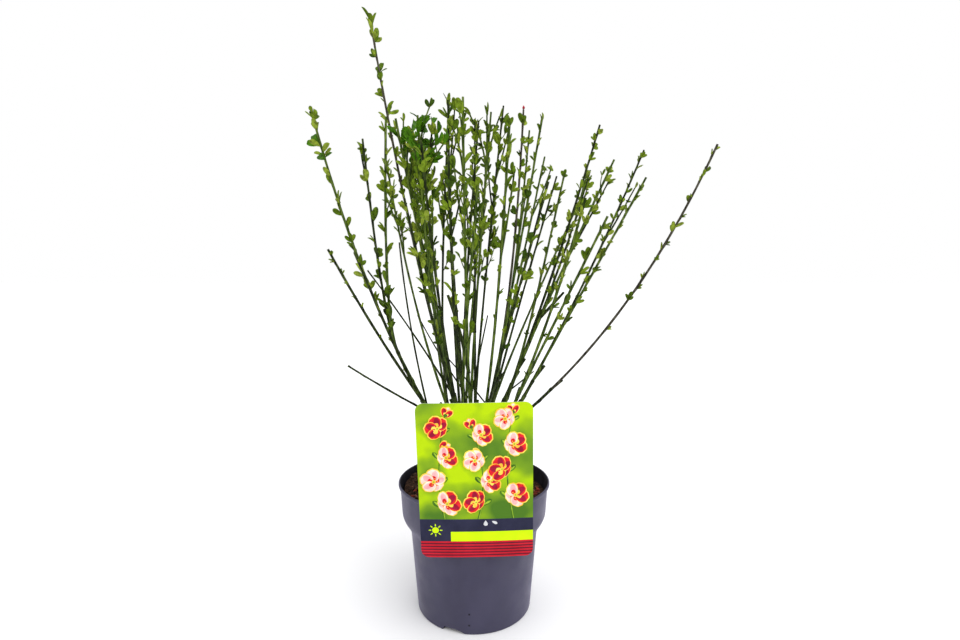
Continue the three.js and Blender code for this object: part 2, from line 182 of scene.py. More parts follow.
# Where a bough and its wands look other than by the rule: the draw for their bark, how large the leaves
# are, how far apart, the share without leaves, and how thick the bough is. Then where some wands end.
LOOKS = {
    "left": {"leaf": 1.1, "pitch": 14.5},
    "low_left": {"tone": 0.8, "leaf": 0.5},
    "tall": {"leaf": 1.1, "pitch": 14.5},
    "right_back": {"leaf": 0.9},
    "outer_right": {"leaf": 0.9},
    "far_right": {"tone": 0.95, "leaf": 1.05, "pitch": 17, "bare": 0.16, "girth": 0.8},
}
WAND_ENDS = {
    ("left", 1): 0.98, ("tall", 1): 0.93, ("middle_left", 2): 0.8, ("middle_right", 1): 0.99,
    ("back_right", 1): 0.93, ("far_right", 0): 1.02,
}

# Where the leaves are large, fresh and close together, and how far such a clump reaches
CLUMPS = (
    Named(centre=(-47, -22, 511), radius=32, shoots=11, fresh=0.86),
    Named(centre=(-165, -20, 506), radius=17, shoots=0, fresh=0.35),
)
CLUMP_LEAF = Named(size=1.3, shoot=62, pitch=10, tilt=1.9)
CLUMP_NUMBER = 500

# Shoots whose tips stand out at the top of the crown
TOP_SHOOTS = (
    (-46, -22, 547), (-72, -30, 530), (-16, -20, 548), (-4, -10, 543), (14, -20, 540), (28, 10, 546),
)

# Cut stubs, and thin bare wands that show in the gaps. A bare wand leaves whatever limb is nearest to
# its foot. Rows hold its foot, its tip and its radius.
BARE_ROOM = 0.3
STUB = Named(
    length=9, spread=22, tilt=8, tilt_spread=9, radius=1.7, often=0.6, low=0.55, room=0.3,
)
BARE_WANDS = (
    ((-24, -20, 244), (-114, -20, 378), 1.0),
    ((-45, -20, 233), (-78, -20, 407), 1.0),
    ((-3, -20, 237), (-60, -20, 330), 0.8),
    ((-2, -20, 243), (15, -20, 330), 0.9),
    ((6, -30, 238), (-26, -40, 286), 0.8),
    ((25, -20, 288), (47, -20, 345), 0.8),
    ((38, -20, 244), (68, -20, 264), 0.8),
    ((-10, -20, 268), (-27, -20, 352), 2.0),
    ((0, -10, 310), (3, -10, 357), 2.1),
    ((52, -20, 300), (76, -20, 335), 1.8),
    ((84, 0, 322), (101, 0, 354), 1.7),
    ((21, -20, 244), (26, -20, 266), 1.4),
    ((29, -10, 244), (35, -10, 263), 1.6),
    ((40, -20, 244), (48, -20, 257), 1.5),
)

# Leaves: a blade's outline, fold and bend, and how leaflets grow together at one place
BLADE = Named(
    size=0.76, broad=1.14, thickness=0.32, stations=(0.06, 0.22, 0.4, 0.57, 0.73, 0.87, 0.96),
    base=0.82, tip=0.5, fold=16, fold_spread=24, bend=-0.22, bend_spread=0.4,
    tilt_spread=22, least_tilt=0.1, most_tilt=1.3, fan_least=0.7, fan_spread=0.6, twist=40, sunk=0.8,
    size_least=0.9, size_extra=0.2, roll=70, pitch=11.5, hug=0.6, young=0.5, young_share=0.62,
    young_bare=0.35, sparse=1.5, tufted=0.25, cut_last=0.965, tint_spread=0.3,
)
LEAFLETS = (
    Named(size=1.0, often=1.0, fan=0, tilt=0),
    Named(size=0.82, often=0.85, fan=29, tilt=5),
    Named(size=0.74, often=0.75, fan=-31, tilt=7),
    Named(size=0.55, often=0.6, fan=14, tilt=-16),
)

# Extra leaves near the tips of some wands: their breadth and number, how far they reach, how far down
# the tuft lies, their size, tilt and its spread
TUFTS = (
    (("tall", 0), 0.75, 8, 20, 0, 1.15, 6, 20),
    (("tall", 0), 1.0, 12, 180, 20, 0.65, 22, 20),
    (("far_right", 0), 1.0, 5, 130, 4, 0.6, 22, 20),
    (("left", 0), 1.1, 7, 22, 0, 0.8, 10, 22),
    (("left", 0), 1.15, 6, 16, 34, 0.85, 30, 40),
    (("inner_back", 0), 0.75, 8, 34, 0, 1.1, 20, 50),
    (("inner_back", 1), 0.75, 11, 46, 0, 1.1, 24, 50),
    (("back", 0), 0.75, 8, 40, 0, 1.1, 24, 50),
    (("middle_left", 1), 0.85, 9, 40, 0, 1.1, 20, 50),
    (("middle_left", 0), 0.85, 8, 40, 0, 1.0, 24, 45),
)
RED_BUD = Named(wand=("middle_right", 0), length=5, width=3.8)

# Buds: breadth as a share of the length, lean, smallest size and its spread, sunk share of the stem's
# radius, and the places and widths of the rings
BUD = Named(
    breadth=0.56, lean=0.55, smallest=0.7, spread=0.6, sunk=0.6,
    stations=(0.12, 0.45, 0.8), swell=(0.75, 1.0, 0.5), sides=5,
)

# Greens of the leaves, by a score that rises up the wands and away from the middle. Barks as the colours
# of their furrows, plain and ribs, and the tones of the limbs, each for draws below its number.
GREEN = Named(bounds=(0.16, 0.5, 0.93), rise=0.3, level=0.6, aside=0.3, near=50, reach=100)
GREENS = {
    "deep": (0.035, 0.072, 0.004), "mid": (0.083, 0.145, 0.006), "bright": (0.145, 0.22, 0.012),
    "yellow": (0.215, 0.285, 0.028), "clump": (0.058, 0.165, 0.004),
}
BARKS = {
    "green_stem": ((0.012, 0.024, 0.003), (0.052, 0.09, 0.011), (0.135, 0.19, 0.03)),
    "dark_stem": ((0.004, 0.006, 0.002), (0.015, 0.024, 0.005), (0.05, 0.075, 0.014)),
    "brown_stem": ((0.016, 0.014, 0.009), (0.045, 0.041, 0.026), (0.1, 0.095, 0.065)),
    "olive_bark": ((0.006, 0.01, 0.003), (0.027, 0.043, 0.009), (0.085, 0.12, 0.022)),
}
TONES = (("green", 0.6), ("dark", 0.92), ("brown", 1))

# Rings of each kind of stem: sides, spacing and ribs. Then what makes them uneven: heights as shares of
# the radius, lengths in millimetres, and how far the ribs wind on each millimetre.
RINGS = {
    "bough": (15, 1.8, 5), "bare_twig": (10, 2, 5), "wand": (10, 3, 5), "twig": (6, 4, 3), "stub": (12, 2, 5),
}
RIBS = Named(rib=0.1, wind=0.013, wave=0.05, wave_length=7.3, knuckle=0.14, knuckle_reach=6)
KNOTS = Named(height=0.34, reach=2.6, pitch=15)


# Shapes

def unit(vectors):
    """Vectors divided by their own length."""
    return vectors / np.linalg.norm(vectors, axis=-1, keepdims=True)


def rotated(x, y, angle):
    """Both coordinates of places turned by an angle."""
    return x * np.cos(angle) - y * np.sin(angle), x * np.sin(angle) + y * np.cos(angle)


def aimed(angle):
    """The flat direction at an angle."""
    return np.array([math.cos(angle), math.sin(angle)])


def turned(first, second, angle):
    """Directions an angle away from the first towards the second, which are square to each other."""
    return first * np.cos(angle)[..., None] + second * np.sin(angle)[..., None]


def all_round(count):
    """Angles spread evenly round a circle."""
    return np.linspace(0, 2 * math.pi, count, endpoint=False)


def parabola(points, share):
    """Places on a parabola: its start, bend and end weighed by the share of the way."""
    start, bend, end = np.asarray(points, float)
    return (1 - share) ** 2 * start + 2 * share * (1 - share) * bend + share ** 2 * end


def parabola_heading(points, share):
    """Directions of a parabola: its two legs weighed by the share of the way."""
    start, bend, end = np.asarray(points, float)
    return (1 - share) * (bend - start) + share * (end - bend)


def chance(bough, wand, leaf, use):
    """A number from 0 to 1 that depends only on its place in the plant: the fraction of a large sine."""
    wave = np.sin(bough * 127.1 + wand * 311.7 + leaf * 74.7 + use * 19.3) * 43758.5453
    return wave - np.floor(wave)


def chances(bough, wand, leaf, first, count):
    """Such numbers for one place and several uses in turn."""
    return [chance(bough, wand, leaf, use) for use in range(first, first + count)]


def grid_faces(rows, columns, ring):
    """Faces between neighbouring points of a grid, row by row; a ring also joins last column to first."""
    step = np.arange(columns if ring else columns - 1)
    near = np.arange(rows - 1)[:, None] * columns + step
    far = np.arange(rows - 1)[:, None] * columns + (step + 1) % columns
    return np.stack([near, far, far + columns, near + columns], axis=-1).reshape(-1, 4)


def capped_faces(rings, sides):
    """Faces of a closed tube: the grid of its rings, and a fan from each end ring to a middle point."""
    this = np.arange(sides)
    following = (this + 1) % sides
    last = (rings - 1) * sides
    none = np.full(sides, -1)
    foot = np.stack([following, this, np.full(sides, rings * sides), none], axis=1)
    top = np.stack([last + this, last + following, np.full(sides, rings * sides + 1), none], axis=1)
    return np.concatenate([grid_faces(rings, sides, True), foot, top])


def closed_tubes(grid, ends):
    """Many closed bodies alike, from their grids of rings and the points in the middle of their ends: the
    faces of one body, moved on by the points of the bodies before it."""
    count, rings, sides = grid.shape[:3]
    points = np.concatenate([grid.reshape(count, -1, 3), ends], axis=1)
    one = capped_faces(rings, sides)
    moved = one + (np.arange(count) * points.shape[1])[:, None, None]
    return points.reshape(-1, 3), np.where(one < 0, -1, moved).reshape(-1, 4)


def closed_tube(grid):
    """A closed body from a grid of rings, with a point in the middle of each end ring."""
    return closed_tubes(grid[None], grid[None, [0, -1]].mean(axis=2))


def joined(parts):
    """Several parts as one, each part's corner numbers moved on past the points before it."""
    starts = np.cumsum([0] + [len(points) for points, faces in parts[:-1]])
    faces = [np.where(part[1] < 0, -1, part[1] + start) for part, start in zip(parts, starts)]
    return np.concatenate([part[0] for part in parts]), np.concatenate(faces)


def rounded_outline(corners, radii, steps=6):
    """An outline whose corners are softened: each becomes a parabola that bends at it, between the
    points that lie its radius away along its two sides."""
    corners = np.array(corners, float)
    share = np.linspace(0, 1, steps)[:, None]
    pieces = [corners[:1]]
    for before, corner, after, radius in zip(corners[:-2], corners[1:-1], corners[2:], radii):
        start = corner + unit(before - corner) * radius
        end = corner + unit(after - corner) * radius
        pieces.append(parabola((start, corner, end), share))
    return np.concatenate(pieces + [corners[-1:]])


def divided(outline, longest):
    """An outline with points added evenly along its sides, so that no side is longer than given."""
    sides = np.linalg.norm(np.diff(outline, axis=0), axis=1)
    counts = np.maximum(1, np.ceil(sides / longest)).astype(int)
    pieces = [
        start + (end - start) * np.linspace(0, 1, count, endpoint=False)[:, None]
        for start, end, count in zip(outline[:-1], outline[1:], counts)
    ]
    return np.concatenate(pieces + [outline[-1:]])


def turned_grid(profile, segments):
    """A profile of (radius, height) pairs carried round the Z axis: rows along it, columns round."""
    height = np.broadcast_to(profile[:, 1:], (len(profile), segments))
    return np.stack([*rotated(profile[:, :1], 0, all_round(segments)), height], axis=-1)


def uneven(x, y, seed, finest, waves=28):
    """Uneven ground of about -2 to 2: the sum of sine waves of seeded length, heading and phase."""
    draw = np.random.default_rng(seed)
    heading = draw.uniform(0, 2 * math.pi, waves)
    length = finest * (1 + 5 * draw.uniform(0, 1, waves) ** 2)
    phase = draw.uniform(0, 2 * math.pi, waves)
    travelled = x[..., None] * np.cos(heading) + y[..., None] * np.sin(heading)
    return np.sin(travelled * 2 * math.pi / length + phase).sum(axis=-1) / math.sqrt(waves)


# Pieces

def shown(name, data):
    """A new object of the scene."""
    thing = bpy.data.objects.new(name, data)
    bpy.context.scene.collection.objects.link(thing)
    return thing


def make_piece(name, part, finish, replaced=(), crease=35):
    """A shown piece. Its points in millimetres become metres, and it is smooth but for edges sharper
    than its crease."""
    points, faces = part
    mesh = bpy.data.meshes.new(name)
    corners = faces[faces >= 0]
    sizes = (faces >= 0).sum(axis=1)
    mesh.vertices.add(len(points))
    mesh.vertices.foreach_set("co", (points * MM).astype(np.float32).ravel())
    mesh.loops.add(len(corners))
    mesh.loops.foreach_set("vertex_index", corners.astype(np.int32))
    mesh.polygons.add(len(faces))
    mesh.polygons.foreach_set("loop_start", (np.cumsum(sizes) - sizes).astype(np.int32))
    mesh.update(calc_edges=True)
    mesh.validate()
    mesh.shade_smooth()
    mesh.set_sharp_from_angle(angle=math.radians(crease))
    mesh.materials.append(finish)
    piece = shown(name, mesh)
    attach(piece, "root")
    if replaced:
        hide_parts(*replaced)
    return piece


# Finishes

def wire(node, inputs):
    """Gives each named or numbered input of a node a value, or links it to another node's output."""
    for key, value in inputs.items():
        if isinstance(value, bpy.types.NodeSocket):
            node.id_data.links.new(value, node.inputs[key])
        else:
            node.inputs[key].default_value = value
    return node


def new_node(tree, kind, inputs, output):
    """A new node's output."""
    return wire(tree.nodes.new(kind), inputs).outputs[output]


def noise(tree, scale, detail=3.0, stretch=(1, 1, 1)):
    """Cloudy noise in Object coordinates, with that many cells to the metre, drawn out by the stretch."""
    place = new_node(tree, "ShaderNodeTexCoord", {}, "Object")
    place = new_node(tree, "ShaderNodeMapping", {"Vector": place, "Scale": stretch}, "Vector")
    return new_node(tree, "ShaderNodeTexNoise", {"Vector": place, "Scale": scale, "Detail": detail}, "Fac")


def sloped(tree, value, slope):
    """A value that also rises along a direction: it plus the slope's product with the place."""
    product = tree.nodes.new("ShaderNodeVectorMath")
    product.operation = "DOT_PRODUCT"
    wire(product, {0: new_node(tree, "ShaderNodeTexCoord", {}, "Object"), 1: slope})
    return new_node(tree, "ShaderNodeMath", {0: value, 1: product.outputs["Value"]}, 0)


def colour_ramp(tree, value, stops):
    """Colour by a value: stops are (value, colour) pairs."""
    ramp = tree.nodes.new("ShaderNodeValToRGB")
    elements = ramp.color_ramp.elements
    while len(elements) < len(stops):
        elements.new(0.5)
    for element, (position, colour) in zip(elements, stops):
        element.position = position
        element.color = (*colour, 1)
    return wire(ramp, {"Fac": value}).outputs["Color"]


def finished(name, surface, clouds, stops, relief=None, gloss=None, slope=None):
    """A material on one shader. Its surface is a roughness and a specular level. Its colour goes by clouds
    of noise, which may rise along a slope. Relief is a depth in millimetres and its noise, and gloss the
    least and the most roughness and their noise."""
    material = bpy.data.materials.new(name)
    material.use_nodes = True
    tree = material.node_tree
    shader = tree.nodes["Principled BSDF"]
    value = noise(tree, *clouds)
    if slope:
        value = sloped(tree, value, slope)
    wire(shader, {
        "Roughness": surface[0], "Specular IOR Level": surface[1],
        "Base Color": colour_ramp(tree, value, stops),
    })
    if gloss:
        ends = {"From Min": 0.3, "From Max": 0.7, "To Min": gloss[0], "To Max": gloss[1]}
        ends["Value"] = noise(tree, *gloss[2:])
        wire(shader, {"Roughness": new_node(tree, "ShaderNodeMapRange", ends, "Result")})
    if relief:
        bump = {"Distance": relief[0] * MM, "Height": noise(tree, *relief[1:])}
        wire(shader, {"Normal": new_node(tree, "ShaderNodeBump", bump, "Normal")})
    return material


def shade(colour, factor):
    """A colour made lighter or darker by a factor."""
    return tuple(min(1.0, part * factor) for part in colour)


def leaf_finish(name, colour):
    """Leaf: its colour clouded from a little darker to a little lighter, half matt, faintly veined."""
    stops = (0.3, shade(colour, 0.42)), (0.5, colour), (0.7, shade(colour, 1.5))
    return finished(name, (0.55, 0.07), (230, 4), stops, (0.12, 1500, 2), (0.4, 0.62, 420))


def stem_finish(name, dark, plain, light):
    """Stem: streaks drawn out along it, from dark in the furrows to light on the ribs."""
    streaks = (420, 5, (1, 1, 0.12))
    stops = (0.34, dark), (0.5, plain), (0.66, light)
    return finished(name, (0.6, 0.08), streaks, stops, (0.25, *streaks), (0.42, 0.68, 300))


def trunk_finish():
    """Old bark: grey brown and olive, with cracks drawn out along it."""
    cracks = (260, 8, (1, 1, 0.22))
    stops = (0.34, (0.014, 0.012, 0.006)), (0.5, (0.055, 0.05, 0.022)), (0.68, (0.12, 0.115, 0.055))
    return finished("old_bark", (0.85, 0.2), cracks, stops, (0.9, *cracks))


def pot_finish():
    """Matt moulded plastic of a bluish dark grey, with faint clouds, fine grain and dull patches."""
    stops = (0.3, (0.03, 0.027, 0.06)), (0.5, (0.037, 0.034, 0.072)), (0.72, (0.047, 0.043, 0.086))
    clouds = (26, 6, (1, 1, 0.5))
    plastic = finished("pot_plastic", (0.5, 0.4), clouds, stops, (0.05, 1800, 2), (0.42, 0.6, 55, 5))
    sheen = {"Sheen Roughness": 0.35, "Sheen Tint": (0.76, 0.71, 1, 1), "Sheen Weight": 0.23}
    wire(plastic.node_tree.nodes["Principled BSDF"], sheen)
    return plastic


def painted_shade_finish():
    """The same plastic inside and under the pot, coloured dark as painted shade where the pot shades itself,
    and made dull.
    """
    stops = (0.35, (0.008, 0.0075, 0.011)), (0.65, (0.019, 0.018, 0.026))
    return finished("painted_shade_plastic", (0.7, 0.15), (90, 6), stops, (0.1, 900, 3))


def mix_finish(name, dark, light, scale):
    """Peat or bark chips: a matt broken surface, from dark to light over a few fibres."""
    return finished(name, (0.95, 0.1), (scale, 8), ((0.35, dark), (0.66, light)), (1.2, scale, 8))


def print_finish(name, first, second, scale=70, roughness=0.32):
    """Printed plastic: smooth and shiny, its ink clouded from one colour to another."""
    return finished(name, (roughness, 0.1), (scale, 2), ((0.36, first), (0.64, second)), (0.03, 900, 2))


def card_ground_finish():
    """Blurred garden behind the printed blossoms: soft clouds from deep green to lime, greener below."""
    stops = (
        (0.66, (0.07, 0.18, 0.014)), (0.81, (0.17, 0.32, 0.014)),
        (0.91, (0.31, 0.5, 0.006)), (0.98, (0.47, 0.69, 0.001)),
    )
    return finished("card_ground", (0.4, 0.1), (24, 2), stops, (0.03, 900, 2), slope=(-0.2, 0, 1.9))


# Stage, light and camera

def make_camera():
    """The camera at the photograph's place, tipped down a little."""
    data = bpy.data.cameras.new("camera")
    data.lens = CAMERA.lens
    data.sensor_width = CAMERA.sensor
    data.clip_start = 0.01
    data.clip_end = 200
    camera = shown("camera", data)
    camera.location = CAMERA.place
    camera.rotation_euler = (math.radians(90 - CAMERA.pitch), 0, 0)
    bpy.context.scene.camera = camera


def make_floor():
    """A wide level floor, pale and matt, with the faintest clouding."""
    half = 60
    mesh = bpy.data.meshes.new("floor")
    corners = [(-half, -half, 0), (half, -half, 0), (half, half, 0), (-half, half, 0)]
    mesh.from_pydata(corners, [], [(0, 1, 2, 3)])
    stops = (0.3, (0.93, 0.93, 0.945)), (0.7, (0.95, 0.95, 0.96))
    mesh.materials.append(finished("floor_paint", (0.9, 0.1), (3, 2), stops))
    shown("floor", mesh)


def make_sun(name, turn, height, strength, softness):
    """A broad even light from a compass turn about Z (0 is from the front) and a height, in degrees."""
    data = bpy.data.lights.new(name, "SUN")
    data.energy = strength
    data.angle = math.radians(softness)
    shown(name, data).rotation_euler = (math.radians(90 - height), 0, math.radians(turn))


def make_light():
    """A white studio: even white all round, and three soft lights."""
    world = bpy.data.worlds.new("studio")
    world.use_nodes = True
    tree = world.node_tree
    strength = {"Value": new_node(tree, "ShaderNodeLightPath", {}, "Is Camera Ray"), "To Min": STUDIO}
    strength = new_node(tree, "ShaderNodeMapRange", strength, "Result")
    wire(tree.nodes["Background"], {"Color": (1, 1, 1, 1), "Strength": strength})
    bpy.context.scene.world = world
    for name, row in SUNS.items():
        make_sun(name, *row)
    bpy.context.scene.view_settings.view_transform = "Standard"


# Pot

def pot_body(foot):
    """Corners of the pot's body as (radius, height), from its foot up."""
    shoulder = (POT.shoulder_radius, POT.shoulder_bottom)
    return [(POT.base_radius, foot), shoulder, (POT.collar_radius, POT.collar_bottom)]


def pot_part():
    """The pot: its outline carried round the axis. A drain notch lifts the foot by its height, less the
    higher a point is, and fading in towards the floor's middle. It rises steeply at its first side and
    runs out gently at its other."""
    lip_foot = POT.height - POT.lip_height
    corners = [
        (0.5, 0),
        *pot_body(0),
        (POT.rim_radius - POT.lip_overhang, lip_foot),
        (POT.rim_radius, lip_foot),
        (POT.rim_radius, POT.height),
        (POT.rim_radius - POT.rim_width, POT.height),
        *[(radius - POT.wall, height) for radius, height in reversed(pot_body(POT.floor))],
        (0.5, POT.floor),
    ]
    outline = rounded_outline(corners, [1.6, 7, 5, 0.7, 1.2, 1.5, 1.5, 5, 7, 1.5])
    grid = turned_grid(divided(outline, POT.row), POT.segments)
    radius = np.hypot(grid[..., 0], grid[..., 1])
    angle = np.arctan2(grid[..., 1], grid[..., 0])
    notch = 0
    for i in range(DRAIN.count):
        centre = math.radians(-90 + DRAIN.first_angle + 360 / DRAIN.count * i)
        off = ((angle - centre + math.pi) % (2 * math.pi) - math.pi) * POT.base_radius
        steep = np.clip((DRAIN.width / 2 + off) / DRAIN.edge, 0, 1)
        gentle = np.clip((DRAIN.width / 2 - off) / DRAIN.slope, 0, 1)
        notch = np.maximum(notch, steep * gentle * (2 - gentle))
    inward = np.clip((radius - POT.base_radius + DRAIN.depth) / DRAIN.edge, 0, 1)
    upward = np.clip(1 - grid[..., 2] / DRAIN.fade, 0, 1)
    grid[..., 2] += DRAIN.height * notch * inward * upward
    return closed_tube(grid)


def painted_shade_faces(points, faces):
    """Which of the pot's faces lie under or inside it, where shade is painted on. The points run up its
    outside and down its inside, so those faces begin before the foot's edge or after the rim's top."""
    foot_edge = np.flatnonzero(np.hypot(points[:, 0], points[:, 1]) > POT.base_radius - 2)[0]
    rim_top = np.flatnonzero(points[:, 2] > POT.height - 0.01)[-1]
    return (faces[:, 0] < foot_edge) | (faces[:, 0] > rim_top)


def pip_part(height):
    """A small moulded pip low on the pot: a half ball flattened to its height, facing outwards."""
    body_slope = (POT.shoulder_radius - POT.base_radius) / POT.shoulder_bottom
    radius = POT.base_radius + body_slope * height
    depth = -math.sqrt(radius ** 2 - MOULD_PIP.x ** 2)
    outward = unit(np.array([MOULD_PIP.x, depth, 0]))
    sideways = np.array([-outward[1], outward[0], 0])
    ring = np.linspace(0, math.pi / 2 * 0.96, 6)[:, None, None]
    flat = turned(sideways, np.array([0, 0, 1]), all_round(16)) * np.cos(ring) * MOULD_PIP.radius
    middle = np.array([MOULD_PIP.x, depth, height])
    return closed_tube(middle + flat + outward * np.sin(ring) * MOULD_PIP.proud)


# Growing mix

def pot_inside(height):
    """Radius of the pot's inside at a height, by straight lines between its named sizes."""
    neck = (POT.rim_radius - POT.lip_overhang, POT.height)
    radii, heights = zip(*pot_body(POT.floor), neck)
    return np.interp(height, heights, radii) - POT.wall


def ground_height(x, y):
    """Height of the growing mix: level in the middle, lower at the wall, with lumps of two sizes and a
    low bell-shaped mound."""
    radius = np.hypot(x, y)
    edge = pot_inside(SOIL.top)
    fall = np.clip((radius - SOIL.flat_radius) / (edge - SOIL.flat_radius), 0, 1)
    lumps = uneven(x, y, 3, 9) + 0.45 * uneven(x, y, 4, 2.6)
    away = ((x - MOUND.x) ** 2 + (y - MOUND.y) ** 2) / MOUND.spread ** 2
    mound = MOUND.height * np.exp(-away)
    return SOIL.top - SOIL.edge_drop * fall + SOIL.lumps * lumps + mound


def soil_part():
    """The growing mix: a turned body in the pot, whose upper face is the uneven ground."""
    edge_height = SOIL.top - SOIL.edge_drop
    wall_heights = np.linspace(SOIL.bottom, edge_height, 14)
    wall = np.stack([pot_inside(wall_heights) - SOIL.gap, wall_heights], axis=1)
    radii = np.linspace(wall[-1, 0] - 0.6, 0.5, 72)
    face = np.stack([radii, np.full(len(radii), edge_height)], axis=1)
    profile = np.concatenate([[[0.5, SOIL.bottom]], wall, face])
    grid = turned_grid(profile, 200)
    upper = grid[-len(face):]
    upper[..., 2] = ground_height(upper[..., 0], upper[..., 1])
    return closed_tube(grid)


def chip_part(count, seed, length):
    """Bark chips: thin shards of a few sides on the uneven ground, jogged, turned and tipped by chance."""
    draw = np.random.default_rng(seed)
    size = draw.uniform(*length, count)
    room = pot_inside(SOIL.top - SOIL.edge_drop) - 1.5 - 0.55 * size
    radius = room * np.sqrt(draw.uniform(0.03, 1, count))
    x, y = rotated(radius, 0, draw.uniform(0, 2 * math.pi, count))

    def each(values):
        return values[:, None, None]

    size = each(size)
    corner = all_round(CHIP.sides)
    shape = (count, 2, CHIP.sides)
    jog = draw.uniform(*CHIP.jog, shape)
    along = size / 2 * np.cos(corner) * jog
    aside = size / 2 * each(draw.uniform(*CHIP.breadth, count)) * np.sin(corner) * jog
    level = np.array([-0.5, 0.5])[None, :, None] * size * each(draw.uniform(*CHIP.thickness, count))
    level = level + draw.uniform(*CHIP.lift, shape)
    along, raised = rotated(along, level, each(draw.normal(0, CHIP.tip, count)))
    flat = rotated(along, aside, each(draw.uniform(0, 2 * math.pi, count)))
    middle = np.stack([x, y, ground_height(x, y) + CHIP.raised], axis=1)
    grid = middle[:, None, None] + np.stack([*flat, raised], axis=-1)
    return closed_tubes(grid, grid.mean(axis=2))


# Card

def on_card(u, v, w):
    """Card to row frame. u runs to the right, v up and w out of its face. The card is bowed, so w falls
    by the bow times u over the half width squared, and it is turned, leant and set down."""
    x, y = rotated(u, v, math.radians(CARD.turn))
    raised = w - CARD.bow * (u / (CARD.width / 2)) ** 2
    depth, height = rotated(y, raised, math.radians(90 + CARD.lean))
    return np.stack([x + CARD.centre_x, depth + CARD.bottom_y, height + CARD.bottom_z], axis=-1)


def plate(u, v, low, high):
    """A thin closed plate on the card: a grid of (u, v) at two heights above the card's back, with a
    wall round its border."""
    rows, columns = u.shape
    count = rows * columns
    points = np.concatenate([on_card(u, v, high).reshape(-1, 3), on_card(u, v, low).reshape(-1, 3)])
    face = grid_faces(rows, columns, False)
    number = np.arange(count).reshape(rows, columns)
    border = np.concatenate([number[0], number[1:, -1], number[-1, -2::-1], number[-2:0:-1, 0]])
    following = np.roll(border, -1)
    wall = np.stack([border + count, following + count, following, border], axis=1)
    return points, np.concatenate([face, face[:, ::-1] + count, wall])


def card_area(bottom, top, inset=0.0):
    """Grid of the card between two heights. Its half width shrinks at the round corners as their arc
    does, and the inset brings its edges in."""
    corner = CARD.corner
    bend = corner * (1 - np.cos(np.linspace(0, math.pi / 2, 8)))
    rows = np.concatenate([bend, np.linspace(corner, CARD.height - corner, 24), CARD.height - bend])
    rows = np.unique(np.clip(rows, bottom, top).round(6))
    into = np.maximum(0, corner - np.minimum(rows, CARD.height - rows))
    rows = rows + inset * (1 - 2 * rows / CARD.height)
    half = CARD.width / 2 - inset - corner + np.sqrt(np.maximum(corner ** 2 - into ** 2, 0))
    share = np.linspace(-1, 1, 25)
    return half[:, None] * share, np.broadcast_to(rows[:, None], (len(rows), len(share)))


def ink_plate(u, v, layer):
    """A plate of ink on the card's face, some layers thick."""
    return plate(u, v, CARD.thickness / 2, CARD.thickness + layer * CARD.layer)


def card_band(bottom, top, layer=1, inset=-0.02):
    """A band of print across the card."""
    return ink_plate(*card_area(bottom, top, inset), layer)


def placed(grid, middle, layer):
    """A grid of (u, v), moved to its middle, as a plate of ink."""
    return ink_plate(grid[..., 0] + middle[0], grid[..., 1] + middle[1], layer)


def put(inks, ink, grid, middle, layer):
    """Adds a placed grid to the plates of an ink."""
    inks[ink].append(placed(grid, middle, layer))


def strip(left, right, bottom, top, layer):
    """A straight-sided area of print between two sides and two heights."""
    u, v = np.meshgrid(np.linspace(left, right, 17), np.linspace(bottom, top, 5))
    return ink_plate(u, v, layer)


def disc_grid(radius, sides=7):
    """A round area: a square grid drawn in to a circle, each side by the root of 1 less half the other's
    square."""
    share = np.linspace(-1, 1, sides)
    right, up = np.meshgrid(share, share)
    u = radius * right * np.sqrt(1 - up ** 2 / 2)
    v = radius * up * np.sqrt(1 - right ** 2 / 2)
    return np.stack([u, v], axis=-1)


def petal_grid(angle, length, width, fullness=0.55, aside=0.0):
    """A petal from its root along an angle. Its half width is a share of its length to the power of its
    fullness, times the root of what is left, so it is round. Its tip lies aside by an amount."""
    share = np.linspace(0, 1, 9)
    shape = share ** fullness * np.sqrt(1 - share)
    half = width / 2 * (0.03 + shape / shape.max())
    along = np.broadcast_to((share * length)[:, None], (9, 5))
    off = half[:, None] * np.linspace(-1, 1, 5) + aside * share[:, None]
    return np.stack(rotated(along, -off, angle), axis=-1)


def seen_aside(grid, heading, tilt):
    """A blossom's grid when it faces aside: lengths along its heading shrink to the cosine of its tilt,
    and its rim swings ahead by the square of its reach, as a cup's rim does."""
    ahead = aimed(heading)
    shrunk = (grid @ ahead) * (math.cos(tilt) - 1)
    swung = (grid ** 2).sum(axis=-1) / PRINTED.reach ** 2 * PRINTED.cup * math.sin(tilt)
    return grid + (shrunk + swung)[..., None] * ahead


def stem_grid(stem, width, aside):
    """A printed stem: a strip that follows a parabola and tapers to half its width."""
    share = np.linspace(0, 1, 24)[:, None]
    line = parabola(stem, share)
    forward = unit(np.gradient(line, axis=0))
    half = (1 - 0.5 * share) * (width / 2 * np.linspace(-1, 1, 3) + aside)
    return np.stack([line[:, :1] + half * forward[:, 1:], line[:, 1:] - half * forward[:, :1]], axis=-1)


def spot_on_stem(stem, share):
    """Place on a printed stem, and its direction there as an angle."""
    onwards = parabola_heading(stem, share)
    return parabola(stem, share), math.atan2(onwards[1], onwards[0])


def print_petal(inks, angle, length, width, tones, facing, middle, layer):
    """One petal: a golden rim, its body, a flush down one side and a blotch at its root."""
    rim = PRINTED.rim
    grids = (
        petal_grid(angle, length + rim, width + rim * 1.3),
        petal_grid(angle, length, width),
        petal_grid(angle, length * 0.9, width * PRINTED.flush, 0.6, width * 0.2),
        petal_grid(angle, length * PRINTED.blotch, width * 0.4, 0.9),
    )
    for i, (ink, grid) in enumerate(zip(("yellow", *tones), grids)):
        put(inks, ink, seen_aside(grid, *facing), middle, layer + i)


